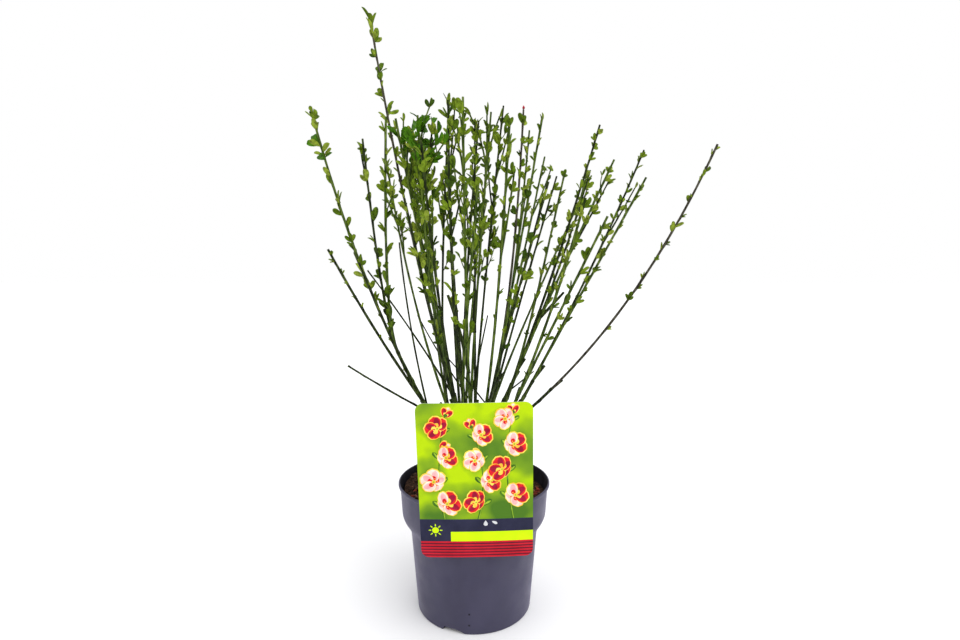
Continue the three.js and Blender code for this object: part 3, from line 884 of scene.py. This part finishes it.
def print_blossom(inks, kind, middle, facing, reach, layer):
    """An open blossom that faces aside. Two-toned ones have pale petals behind and deep ones in front."""
    petals = PRINTED.petals
    for i in range(petals):
        turn = math.pi + 2 * math.pi * i / petals
        pale = kind == "pale" or (kind == "two_tone" and math.cos(turn) < 0.5)
        tones = PALE_TONES if pale else DEEP_TONES
        breadth = reach * PRINTED.breadth
        print_petal(inks, facing[0] + turn, reach, breadth, tones, facing, middle, layer + 4 * i)
    top = layer + 4 * petals
    put(inks, "yellow", seen_aside(disc_grid(PRINTED.heart), *facing), middle, top)
    put(inks, "lime", seen_aside(disc_grid(PRINTED.heart * 0.45), *facing), middle, top + 1)
    for angle in all_round(PRINTED.stamens) + facing[0]:
        stamen = disc_grid(PRINTED.stamen, 4) + aimed(angle) * PRINTED.heart * 1.7
        put(inks, "yellow", seen_aside(stamen, *facing), middle, top + 1)


def print_half_open(inks, spot, angle, layer):
    """A half-open blossom from the side: two deep petals spread before a pale one, in a cup."""
    bud = PRINTED.bud
    fan = ((0, PALE_TONES, 1.0), (0.5, DEEP_TONES, 0.92), (-0.5, DEEP_TONES, 0.92))
    for i, (spread, tones, share) in enumerate(fan):
        print_petal(inks, angle + spread, bud * share, bud * 0.5, tones, (0, 0), spot, layer + 4 * i)
    put(inks, "leaf", petal_grid(angle, bud * 0.34, bud * 0.34, 0.4), spot, layer + 13)


def print_leaf(inks, spot, angle, length, layer):
    """A leaf with one half in the light."""
    put(inks, "leaf", petal_grid(angle, length, length * 0.42, 0.8), spot, layer)
    put(inks, "lime", petal_grid(angle, length * 0.9, length * 0.16, 0.8, length * 0.07), spot, layer + 1)


def printed_design():
    """The card's own generic design: three stems with round five-petalled blossoms to and fro along them,
    half-open ones near their tips, and leaves between. Gives the plates of each ink."""
    inks = {name: [] for name in ("cream", "pink", "red", "crimson", "yellow", "leaf", "lime")}
    kinds = ("two_tone", "pale", "two_tone", "red")
    for column, stem in enumerate(PRINTED_STEMS):
        put(inks, "leaf", stem_grid(stem, PRINTED.stem, 0), (0, 0), 2)
        put(inks, "lime", stem_grid(stem, PRINTED.stem * 0.3, PRINTED.stem * 0.22), (0, 0), 3)
        for place in range(PRINTED.places):
            draw = chances(column, place, 0, 70, 4)
            share = PRINTED.first + PRINTED.step * place + PRINTED.stagger * column
            spot, onwards = spot_on_stem(stem, share)
            side = 1 if (place + column) % 2 else -1
            away = onwards + side * (0.9 + 0.5 * draw[0])
            reach = PRINTED.reach - PRINTED.shrink * place - 2 * draw[1]
            middle = spot + aimed(away) * PRINTED.away
            room = CARD.width / 2 - PRINTED.margin - reach
            middle[0] = np.clip(middle[0], -room, room)
            facing = (away + 0.9 * (draw[2] - 0.5), math.radians(22 + 22 * draw[3]))
            layer = 6 + PRINTED.levels * ((place + column) % 2)
            print_leaf(inks, spot, onwards - side * 0.8, 12 - place, 3)
            print_blossom(inks, kinds[(place + 3 * column) % 4], middle, facing, reach, layer)
        for share, lean in ((0.7, 1 if column % 2 else -1), (0.98, 0.2 * (column - 1))):
            spot, onwards = spot_on_stem(stem, share)
            print_half_open(inks, spot, onwards + lean, 6)
    return inks


def sun_mark():
    """A plain sun on the dark band: a disc and short rays."""
    middle = np.array([SUN.x, SUN.height])
    marks = [placed(disc_grid(SUN.disc, 9), middle, 3)]
    for angle in all_round(SUN.rays):
        ray = petal_grid(angle, SUN.ray, SUN.ray_width, 0.2)
        marks.append(placed(ray, middle + aimed(angle) * SUN.ray_foot, 3))
    return marks


def care_marks():
    """Two plain care marks on the dark band: a drop, and a small leaf that lies over."""
    drop = petal_grid(-math.pi / 2, DROP.length, DROP.width, 1.1)
    leaf = petal_grid(-0.5, DROP.length, DROP.width * 0.7, 0.8)
    beside = (DROP.x + DROP.width * 1.6, DROP.top - 1)
    return [placed(drop, (DROP.x, DROP.top), 3), placed(leaf, beside, 3)]


def stripe_parts():
    """Darker stripes, evenly spaced across the red band."""
    pitch = BANDS.red_top / (BANDS.stripes + 0.6)
    lows = [pitch * (i + 0.55) for i in range(BANDS.stripes)]
    return [card_band(low, low + BANDS.stripe, 3, 0) for low in lows]


def hook_part():
    """The card's hook: a flat strip along a line that runs back over the rim and bends down."""
    over = POT.height + HOOK.gap + HOOK.thickness / 2
    inner_rim = POT.rim_radius - POT.rim_width
    back = HOOK.clear_of_rim - math.sqrt(inner_rim ** 2 - (HOOK.width / 2) ** 2)
    low = over - HOOK.drop
    line = rounded_outline([(-POT.rim_radius - 1, over), (back, over), (back, low)], [1.6])
    forward = unit(np.gradient(line, axis=0))
    out = np.stack([-forward[:, 1], forward[:, 0]], axis=1)
    corner = np.array([(-1, -1), (-1, 1), (1, 1), (1, -1)]) / 2
    x = CARD.centre_x + corner[:, 0] * HOOK.width
    rings = line[:, None] + out[:, None] * corner[:, 1:] * HOOK.thickness
    grid = np.concatenate([np.broadcast_to(x[None, :, None], (len(line), 4, 1)), rings], axis=2)
    return closed_tube(grid)


# Plant

def across(direction):
    """Two directions square to a limb: the Y axis crossed with it, and it crossed with that."""
    right = unit(np.cross(np.array([0.0, 1.0, 0.0]), direction))
    return right, unit(np.cross(direction, right))


class Limb:
    """Part of a parabola from a foot, by way of a bend, to a tip, with a radius that tapers."""

    def __init__(self, course, start, end, radii, bough, wand):
        self.course = np.array(course, float)
        self.start = start
        self.end = end
        self.radii = radii
        self.bough = bough
        self.wand = wand
        steps = np.diff(self.spot(np.linspace(0, 1, 120)), axis=0)
        self.length = np.linalg.norm(steps, axis=1).sum()

    def share(self, along):
        """Share of the whole course, from the share of this part of it."""
        return (self.start + (self.end - self.start) * np.asarray(along, float))[..., None]

    def spot(self, along):
        """Place on the course."""
        return parabola(self.course, self.share(along))

    def heading(self, along):
        """Direction of the course, one long."""
        return unit(parabola_heading(self.course, self.share(along)))

    def radius(self, along):
        """Radius, evenly from foot to tip."""
        return self.radii[0] + (self.radii[1] - self.radii[0]) * np.asarray(along, float)

    def outward(self, along, turn):
        """Direction square to the course, turned about it."""
        return turned(*across(self.heading(along)), turn)

    def label(self):
        """The names by which the tables call it: its bough's and its own number."""
        return BOUGHS[self.bough].name, self.wand

    def draw(self, number, use):
        """A chance number for one thing, or each of several, that it carries."""
        return chance(self.bough, self.wand, number, use)

    def draws(self, number, first, count):
        """Such numbers for several uses in turn."""
        return chances(self.bough, self.wand, number, first, count)


def arched(foot, tip, arch):
    """A course bent outwards on its way: the bend lies further out and lower than the middle."""
    foot = np.array(foot, float)
    tip = np.array(tip, float)
    return foot, foot + (tip - foot) * np.array([0.5 + arch, 0.5 + arch, 0.5 - arch]), tip


def share_at_height(course, height):
    """Share of a rising course where it reaches a height."""
    share = np.linspace(0, 1, 2000)
    return float(np.interp(height, parabola(course, share[:, None])[:, 2], share))


def look(name, field, usual):
    """What the table of looks says of a bough, or else what is usual."""
    return LOOKS.get(name, {}).get(field, usual)


def bough_limbs(number, row):
    """A bough up to its fork, and the wands that grow on from there by the source's rule."""
    name = row.name
    tip = np.array([row.reach, row.depth, row.height])
    course = arched((TRUNK.lean_x / 2, TRUNK.lean_y / 2, row.foot), tip, row.arch)
    share = share_at_height(course, row.fork)
    girth = look(name, "girth", 1)
    bough = Limb(course, 0, share, (LIMB.foot * girth, LIMB.fork * girth), number, 0)
    radii = (LIMB.wand_foot * girth, LIMB.wand_tip)
    wands = [Limb(course, share, WAND_ENDS.get((name, 0), 1), radii, number, 0)]
    fork = bough.spot(1)
    onwards = bough.heading(1)
    for i in range(1, row.wands):
        side = 1 if i % 2 == 1 else -1
        end = tip + np.array([row.fan * i, row.swing * side, -row.drop * i])
        bend = fork + onwards * np.linalg.norm(fork - end) * WAND.rise
        course = (fork - onwards * WAND.sunk, bend, end)
        wands.append(Limb(course, 0, WAND_ENDS.get((name, i), 1), radii, number, i))
    return bough, wands


def leaf_places(limb, bare, leaf, pitch, last=LEAF.last):
    """Places of leaves on a limb by the source's rule: evenly spread but for a chance share, each turned
    a golden angle on, the last one near the tip. The first are smaller and fewer."""
    count = max(2, round(limb.length * (1 - bare) / pitch))
    number = np.arange(count)
    draw = limb.draws(number, 0, 6)
    along = bare + (1 - bare) * (number + 0.4 + 0.5 * draw[1]) / count
    along[-1] = last
    tilt = (LEAF.tilt + LEAF.tilt_spread * draw[3]) * BLADE.hug
    tilt[-1] = LEAF.last_tilt if last == LEAF.last else LEAF.tilt
    young_share = BLADE.young_share * min(1, bare / BLADE.young_bare)
    grown = np.clip((along - bare) / (1 - bare) / young_share, 0, 1)
    size = LEAF.length * leaf * (LEAF.smallest + LEAF.size_spread * draw[4])
    kept = draw[5] < grown ** BLADE.sparse
    return Named(
        limb=limb,
        number=number[kept],
        along=along[kept],
        turn=np.radians(LEAF.turn * number + LEAF.turn_spread * draw[2])[kept],
        tilt=np.radians(tilt)[kept],
        size=(size * (BLADE.young + (1 - BLADE.young) * grown))[kept],
    )


def stem_part(limb, kind, knots=None, knuckle=0.0):
    """A ribbed stem: rings square to its course, whose radius is the limb's own times 1, plus low ribs
    that wind, a bell-shaped swelling on each knot's side, and a knuckle at its end."""
    sides, spacing, ribs = RINGS[kind]
    along = np.linspace(0, 1, int(limb.length / spacing) + 3)
    reach = along * limb.length
    angle = all_round(sides)
    relief = 1 + RIBS.rib * np.cos(ribs * angle + (reach * RIBS.wind + limb.bough)[:, None])
    relief += RIBS.wave * np.sin(reach / RIBS.wave_length + limb.wand)[:, None]
    if knots is not None:
        off = (along[:, None] - knots.along) * limb.length / KNOTS.reach
        facing = (0.5 + 0.5 * np.cos(angle[:, None] - knots.turn)) ** 2
        relief += KNOTS.height * (np.exp(-off ** 2)[:, None, :] * facing[None]).sum(axis=-1)
    relief += knuckle * np.exp(-((limb.length - reach) / RIBS.knuckle_reach) ** 2)[:, None]
    circle = limb.outward(along[:, None], angle[None])
    radius = limb.radius(along)[:, None] * relief
    return closed_tube(limb.spot(along)[:, None] + circle * radius[..., None])


def trunk_part():
    """The short stem: a flared outline carried round a leaning axis, with five lobes that deepen towards
    the foot, finer furrows and lumps."""
    height = TRUNK.height
    outline = divided(rounded_outline(
        [
            (TRUNK.flare, 0),
            (TRUNK.neck, TRUNK.flare_height),
            (TRUNK.radius, height * TRUNK.waist),
            (TRUNK.top, height),
            (0.5, height + 1),
        ],
        [4, 12, 2],
    ), 1.2)
    grid = turned_grid(outline, 60)
    share = grid[..., 2] / height
    angle = np.arctan2(grid[..., 1], grid[..., 0])
    lobes = (0.05 + 0.1 * np.clip(1 - share, 0, 1) ** 4) * np.cos(5 * angle + 1.5 * share)
    furrows = 0.03 * np.cos(13 * angle - 2.2 * share) + 0.02 * uneven(angle * 9, grid[..., 2], 8, 4)
    grid[..., :2] *= (1 + lobes + furrows)[..., None]
    grid[..., 0] += TRUNK.lean_x * share
    grid[..., 1] += TRUNK.lean_y * share
    grid[..., 2] += TRUNK.foot - SOIL.gap
    return closed_tube(grid)


def drawn_in(root, tip, box):
    """A tip drawn back towards its root until it lies in a box."""
    step = tip - root
    low, high = box
    with np.errstate(divide="ignore", invalid="ignore"):
        room = np.where(step > 0, (high - root) / step, (low - root) / step)
    return root + step * np.clip(np.nanmin(room), 0, 1)


def mass_box(name):
    """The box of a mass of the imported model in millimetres, with a small margin."""
    low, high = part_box(f"{name}_mass")
    return np.array(low) / MM - SIDE.margin, np.array(high) / MM + SIDE.margin


def fresh_share(spots):
    """How many leaves are fresh green at each place: the clump's share where one is nearer than it
    reaches, or else none."""
    away = [np.linalg.norm(spots - np.array(clump.centre), axis=-1) for clump in CLUMPS]
    return np.max([(far < clump.radius) * clump.fresh for far, clump in zip(away, CLUMPS)], axis=0)


def leaning(limb, along, turn, tilt):
    """A direction that leans out from a limb: its own direction tilted, and turned about it."""
    return turned(limb.heading(along), limb.outward(along, turn), tilt)


def side_limbs(wand, row, kind):
    """Side shoots or twigs of a wand: evenly spread but for a chance share, each turned a golden angle on.
    Each leans out and then rises with the wand, keeps within its mass and ends lower than its wand."""
    span = kind.high - kind.low
    count = max(1, round(wand.length * span / kind.spacing))
    often = kind.dense_often if row.leaf > DENSE_FROM else kind.often
    low, high = mass_box(row.name)
    limbs = []
    for i in range(count):
        draw = wand.draws(i, kind.draw, 5)
        along = kind.low + span * (i + draw[0]) / count
        root = wand.spot(along)
        if draw[4] > (kind.clump_often if fresh_share(root) > 0 else often):
            continue
        turn = math.radians(LEAF.turn * i + SIDE.turn_spread * draw[1])
        tilt = math.radians(kind.tilt + kind.tilt_spread * draw[2])
        length = kind.length + kind.spread * draw[3]
        lean = leaning(wand, along, turn, tilt)
        bend = root + lean * length * SIDE.bend
        top = np.minimum(high, [np.inf, np.inf, wand.spot(1)[2] - SIDE.shorter * draw[0]])
        tip = drawn_in(root, bend + unit(lean + wand.heading(along)) * length * SIDE.rise, (low, top))
        if np.linalg.norm(tip - root) > kind.length * SIDE.shortest:
            course = (root, root + (bend - root) * SIDE.slack, tip)
            number = kind.number * (wand.wand + 1) + i
            limbs.append(Limb(course, 0, 1, (kind.foot, kind.tip), wand.bough, number))
    return limbs


def clump_tips(number, clump):
    """Tips of the extra shoots that fill a clump, by chance in the box that it fills."""
    draw = chances(CLUMP_NUMBER + 20 * number, 3, np.arange(clump.shoots), 110, 3)
    return np.array(clump.centre) + (2 * np.stack(draw, axis=1) - 1) * clump.radius * 0.8


def shoots_to(tips, wands, first):
    """Extra shoots up to given tips, each from whichever wand comes nearest to the place a shoot's length
    straight below its tip."""
    shoots = []
    heights = np.linspace(0.2, 0.95, 60)
    spots = np.stack([wand.spot(heights) for wand in wands])
    for i, tip in enumerate(tips):
        away = np.linalg.norm(spots - (tip - np.array([0, 0, CLUMP_LEAF.shoot])), axis=-1)
        nearest, height = np.unravel_index(np.argmin(away), away.shape)
        wand = wands[nearest]
        root = spots[nearest, height]
        bend = root + wand.heading(heights[height]) * np.linalg.norm(tip - root) * 0.5
        radii = (SHOOT.foot, SHOOT.tip)
        shoots.append(Limb((root, bend, tip), 0, 1, radii, wand.bough, first + i))
    return shoots


def stub_from(bough, along, use):
    """A cut stub that leaves a bough at a small angle: a short straight limb of a chance length."""
    draw = chances(bough.bough, 7, use, 40, 3)
    tilt = math.radians(STUB.tilt + STUB.tilt_spread * draw[1])
    lean = leaning(bough, along, 2 * math.pi * draw[0], tilt)
    root = bough.spot(along) - lean * WAND.sunk
    tip = root + lean * (STUB.length + STUB.spread * draw[2])
    course = (root, (root + tip) / 2, tip)
    return Limb(course, 0, 1, (STUB.radius, STUB.radius * 0.9), bough.bough, 60 + use)


def bare_wand(number, foot, tip, radius, carriers):
    """A thin bare wand or a stub, bowed a little by chance. It leaves the limb nearest to its named foot,
    where depth counts less than width, and its named tip moves in depth with it."""
    spots = np.concatenate([limb.spot(np.linspace(0.05, 0.95, 80)) for limb in carriers])
    away = (spots - np.array(foot, float)) * [1, BARE_ROOM, 1]
    nearest = spots[np.argmin(np.linalg.norm(away, axis=1))]
    tip = np.array(tip, float) + [0, nearest[1] - foot[1], 0]
    bow = (chance(number, 5, 0, 1) - 0.5) * 0.1 * np.linalg.norm(tip - nearest)
    course = (nearest, (nearest + tip) / 2 + np.array([bow, bow, 0]), tip)
    return Limb(course, 0, 1, (radius * 1.1, radius * 0.8), number, 5)


def tuft_places(limb, leaves, reach, down, size, tilt, spread):
    """Places of a tuft's leaves: close together, each turned a golden angle on from the last."""
    order = np.arange(leaves)
    number = order + 20 * down
    draw = limb.draws(number, 90, 2)
    return Named(
        limb=limb,
        number=number + 200,
        along=0.995 - (down + reach * (1 - (order + 1) / leaves)) / limb.length,
        turn=np.radians(LEAF.turn * number),
        tilt=np.radians(tilt + spread * draw[0]),
        size=LEAF.length * size * (0.75 + 0.4 * draw[1]),
    )


def leaflets(places, members=LEAFLETS, broad=1.0):
    """The leaflets of every place: a middle one by the source's rule and smaller ones fanned out beside it,
    all rolled alike about its length. Gives a record of arrays for each of them."""
    limb = places.limb
    number = places.number
    spot = limb.spot(places.along)
    forward = limb.heading(places.along)
    out = limb.outward(places.along, places.turn)
    roll = np.radians(BLADE.roll) * (2 * limb.draw(number, 50) - 1)
    clumped = fresh_share(spot) > 0
    grown = np.where(clumped, CLUMP_LEAF.size, 1.0)
    leant = places.tilt * np.where(clumped, CLUMP_LEAF.tilt, 1.0)
    length = places.size * BLADE.size
    found = []
    for member, leaflet in enumerate(members):
        draw = limb.draws(number, 60 + member * 7, 7)
        tilt = leant + np.radians(leaflet.tilt + BLADE.tilt_spread * (draw[2] - 0.5))
        tilt = np.clip(tilt, BLADE.least_tilt, BLADE.most_tilt)
        middle = turned(forward, out, tilt)
        side = unit(np.cross(forward, out))
        side = turned(side, np.cross(middle, side), roll)
        fan = np.radians(leaflet.fan * (BLADE.fan_least + BLADE.fan_spread * draw[1]))
        along = turned(middle, side, fan)
        side = turned(side, -middle, fan)
        side = turned(side, np.cross(along, side), np.radians(BLADE.twist) * (2 * draw[3] - 1))
        record = {
            "root": spot + out * limb.radius(places.along)[:, None] * BLADE.sunk,
            "along": along,
            "side": side,
            "length": length * leaflet.size * grown * (BLADE.size_least + BLADE.size_extra * draw[4]),
            "broad": np.full(len(number), BLADE.broad * broad),
            "fold": np.radians(BLADE.fold + BLADE.fold_spread * draw[5]),
            "bend": BLADE.bend + BLADE.bend_spread * draw[6],
            "height": places.along,
            "tint": limb.draw(number, 7) + BLADE.tint_spread * (draw[1] - 0.5),
        }
        grows = draw[0] < leaflet.often
        found.append({key: values[grows] for key, values in record.items()})
    return found


def blade_part(leaves):
    """Leaves: closed blades of a lens-shaped section. A blade's middle lies on a line bent by the square
    of the share of its length, and its edges lie off it by the half width, lifted by the fold. The half
    width is the share to one power times what is left to another, so a blade is widest past its middle."""
    share = np.array(BLADE.stations)
    shape = share ** BLADE.base * (1 - share) ** BLADE.tip
    length = leaves["length"][:, None]
    root = leaves["root"][:, None]
    along = leaves["along"][:, None]
    side = leaves["side"][:, None]
    normal = np.cross(leaves["along"], leaves["side"])[:, None]
    width = LEAF.width / LEAF.length * leaves["broad"][:, None] * length
    half = width / 2 * shape / shape.max()

    def spine(part):
        bend = leaves["bend"][:, None] * part ** 2 * length
        return root + along * (part * length)[..., None] + normal * bend[..., None]

    middle = spine(share)
    fold = leaves["fold"][:, None]
    right = turned(side, normal, fold) * half[..., None]
    left = turned(-side, normal, fold) * half[..., None]
    thick = normal * BLADE.thickness / 2
    grid = np.stack([middle + right, middle + thick, middle + left, middle - thick], axis=2)
    return closed_tubes(grid, np.concatenate([root, spine(1)], axis=1))


def bud_part(places, length, width):
    """Buds: closed spindles of three rings at each place, that lean out a little from the stem."""
    limb = places.limb
    forward = limb.heading(places.along)
    out = limb.outward(places.along, places.turn + 0.5)
    along = unit(forward + out * BUD.lean)[:, None, None]
    side = unit(np.cross(forward, out))[:, None, None]
    share = np.array(BUD.stations)[:, None, None]
    swell = np.array(BUD.swell)[:, None, None]
    size = (BUD.smallest + BUD.spread * limb.draw(places.number, 9))[:, None, None, None]
    radius = limb.radius(places.along)[:, None]
    root = (limb.spot(places.along) + out * radius * BUD.sunk)[:, None, None]
    circle = turned(side, np.cross(along, side), all_round(BUD.sides)[None, None])
    grid = root + along * share * length * size + circle * swell * width / 2 * size
    return closed_tubes(grid, np.concatenate([root, root + along * length * size], axis=1)[:, :, 0])


def stem_tone(limb):
    """The first tone of bark whose bound lies above a limb's draw. A bough has its leading wand's draw, or
    one by name."""
    drawn = look(limb.label()[0], "tone", chance(limb.bough, limb.wand % 10, 0, 13))
    return next(name for name, bound in TONES if drawn < bound)


def last_leaf(limb):
    """Where a limb's last leaf sits: at its tip by chance, or else a little lower, as under a bud."""
    tufted = limb.draw(0, 8) < BLADE.tufted and limb.label() != RED_BUD.wand
    return LEAF.last if tufted else BLADE.cut_last


def merged(records):
    """Records of arrays as one record, each array put end to end."""
    return {key: np.concatenate([record[key] for record in records]) for key in records[0]}


def leaf_colour(leaves):
    """The number of each leaf's green: fresh inside the clumps, and elsewhere from deep to yellow by its
    spray's draw, brighter towards the tips of the wands and far from the middle."""
    aside = np.clip((np.abs(leaves["root"][:, 0]) - GREEN.near) / GREEN.reach, 0, 1)
    score = leaves["tint"] + GREEN.rise * (leaves["height"] - GREEN.level) + GREEN.aside * aside
    colour = np.searchsorted(GREEN.bounds, score, side="right")
    fresh = fresh_share(leaves["root"])
    return np.where((fresh > 0) & (leaves["tint"] < fresh), 4, colour)


def grow_plant():
    """The whole plant: boughs, other limbs by kind with their leaf places, the record of the leaves, the
    green buds and the red bud."""
    limbs = {"wand": [], "twig": [], "stub": []}
    leaves = []
    buds = []
    boughs = []
    grown = []

    def dress(kind, limb, places, bud):
        limbs[kind].append((limb, places))
        leaves.extend(leaflets(places))
        buds.append(bud_part(places, bud, bud * BUD.breadth))

    for number, row in enumerate(BOUGHS):
        leaf = row.leaf * look(row.name, "leaf", 1)
        bare = look(row.name, "bare", row.bare)
        pitch = look(row.name, "pitch", BLADE.pitch)
        bough, wands = bough_limbs(number, row)
        boughs.append(bough)
        limbs["stub"].append(stub_from(bough, 1.0, 0))
        if chance(number, 9, 0, 1) < STUB.often:
            along = STUB.low + STUB.room * chance(number, 9, 0, 2)
            limbs["stub"].append(stub_from(bough, along, 1))
        for wand in wands:
            places = leaf_places(wand, bare, leaf, pitch, last_leaf(wand))
            dress("wand", wand, places, WAND.bud)
            for carrier, broad, *tuft in TUFTS:
                if carrier == wand.label():
                    leaves.extend(leaflets(tuft_places(wand, *tuft), LEAFLETS[:1], broad))
            if wand.label() == RED_BUD.wand:
                top = Named(limb=wand, number=places.number[-1:], along=np.ones(1), turn=places.turn[-1:])
                red_bud = bud_part(top, RED_BUD.length, RED_BUD.width)
            if row.wands == 1 or wand.label() in LONE_WANDS:
                continue
            for shoot in side_limbs(wand, row, SHOOT):
                size = leaf * SHOOT.leaf
                places = leaf_places(shoot, SHOOT.bare, size, SHOOT.pitch, last_leaf(shoot))
                dress("wand", shoot, places, SHOOT.bud)
            for twig in side_limbs(wand, row, TWIG):
                places = leaf_places(twig, TWIG.bare, leaf * TWIG.leaf, TWIG.pitch)
                dress("twig", twig, places, TWIG.bud)
            grown.append(wand)
    tips = [clump_tips(number, clump) for number, clump in enumerate(CLUMPS)]
    for shoot in shoots_to(np.concatenate(tips + [TOP_SHOOTS]), grown, CLUMP_NUMBER):
        places = leaf_places(shoot, SHOOT.bare, 1, CLUMP_LEAF.pitch)
        dress("wand", shoot, places, SHOOT.bud)
    return boughs, limbs, merged(leaves), buds, red_bud


def make_bark(name, parts, finish, replaced=(), crease=50):
    """A piece of bark."""
    make_piece(name, joined(parts), finish, replaced, crease)


def make_stems(boughs, limbs, masses):
    """The short stem, the boughs, the dead twig, the wands and twigs in three tones, and what is bare."""
    bark = {name: stem_finish(name, *tints) for name, tints in BARKS.items()}
    dark = bark["dark_stem"]
    tones = {"green": bark["green_stem"], "dark": bark["olive_bark"], "brown": dark}
    make_bark("trunk_bark", [trunk_part()], trunk_finish(), ["trunk"], 60)
    for bough in boughs:
        name = f"{bough.label()[0]}_bough"
        part = stem_part(bough, "bough", leaf_places(bough, 0.05, 1, KNOTS.pitch), RIBS.knuckle)
        make_bark(f"{name}_bark", [part], tones[stem_tone(bough)], [name])
        if name == f"{BARE_TWIG.bough}_bough":
            foot = bough.spot(share_at_height(bough.course, BARE_TWIG.foot) / bough.end)
    course = arched(foot, BARE_TWIG.tip, BARE_TWIG.arch)
    twig = Limb(course, 0, 1, (LIMB.wand_foot * 0.7, LIMB.wand_tip * 0.8), len(BOUGHS), 0)
    part = stem_part(twig, "bare_twig", leaf_places(twig, 0.1, 1, KNOTS.pitch))
    make_bark("bare_twig_bark", [part], dark, ["bare_twig"])
    for tone in tones:
        for kind in ("wand", "twig"):
            toned = [pair for pair in limbs[kind] if stem_tone(pair[0]) == tone]
            parts = [stem_part(limb, kind, places) for limb, places in toned]
            make_bark(f"{kind}s_{tone}", parts, bark[f"{tone}_stem"], masses)
    carriers = boughs + [limb for limb, places in limbs["wand"] if limb.wand < WAND.most]
    bare = [bare_wand(number, *wand, carriers) for number, wand in enumerate(BARE_WANDS)]
    make_bark("cut_stubs", [stem_part(limb, "stub") for limb in limbs["stub"]], dark)
    make_bark("bare_wands", [stem_part(limb, "wand") for limb in bare], dark)


def make_plant():
    """Every piece of the plant."""
    boughs, limbs, leaves, buds, red_bud = grow_plant()
    masses = [f"{row.name}_mass" for row in BOUGHS]
    make_stems(boughs, limbs, masses)
    colour = leaf_colour(leaves)
    for number, (name, tint) in enumerate(GREENS.items()):
        blades = blade_part({key: values[colour == number] for key, values in leaves.items()})
        make_piece(f"leaves_{name}", blades, leaf_finish(f"leaves_{name}", tint), masses, 24)
    make_piece("buds", joined(buds), leaf_finish("bud_green", (0.13, 0.17, 0.014)), masses, 60)
    make_piece("red_bud", red_bud, leaf_finish("bud_red", (0.5, 0.03, 0.05)), (), 60)


def make_pot():
    """The pot, its pips, the growing mix and its chips."""
    part = pot_part()
    shell = make_piece("pot_shell", part, pot_finish(), ["pot"], 40)
    # Faces inside and under the pot take a second finish, coloured dark as painted shade.
    shell.data.materials.append(painted_shade_finish())
    shell.data.polygons.foreach_set("material_index", painted_shade_faces(*part).astype(np.int32))
    pips = joined([pip_part(height) for height in MOULD_PIP.heights])
    pip_plastic = print_finish("pip_plastic", (0.012, 0.012, 0.018), (0.02, 0.02, 0.03))
    make_piece("pot_pips", pips, pip_plastic)
    peat = mix_finish("peat", (0.01, 0.005, 0.004), (0.075, 0.04, 0.024), 420)
    make_piece("growing_mix", soil_part(), peat, ["soil"], 70)
    for name, (shape, colours) in CHIPS.items():
        chips = chip_part(*shape)
        make_piece(f"chips_{name}", chips, mix_finish(f"{name}_chip", *colours, 500), (), 20)


def make_card():
    """The card: its white sheet with its hook, the printed picture, the bands with marks on them, and
    the plates of the design."""
    white = print_finish("card_plastic", (0.72, 0.73, 0.72), (0.8, 0.8, 0.79), 30, 0.35)
    sheet = plate(*card_area(0, CARD.height), 0, CARD.thickness)
    make_piece("card_sheet", joined([sheet, hook_part()]), white, ["picture_card"], 40)
    ground = card_band(BANDS.dark_top, CARD.height)
    make_piece("card_picture", ground, card_ground_finish())
    right = CARD.width / 2 + 0.01
    yellow = strip(right - BANDS.yellow_width, right, BANDS.red_top, BANDS.yellow_top, 2)
    bands = {
        "red_band": [card_band(0, BANDS.red_top)],
        "stripes": stripe_parts(),
        "dark_band": [card_band(BANDS.red_top, BANDS.dark_top)],
        "yellow_strip": [yellow] + sun_mark(),
        "marks": care_marks(),
    }
    for shapes, scale in ((bands, 70), (printed_design(), 160)):
        for name, parts in shapes.items():
            ink = print_finish(f"{name}_ink", *INKS[name], scale)
            make_piece(f"card_{name}", joined(parts), ink)


make_camera()
make_floor()
make_light()
make_pot()
make_card()
make_plant()
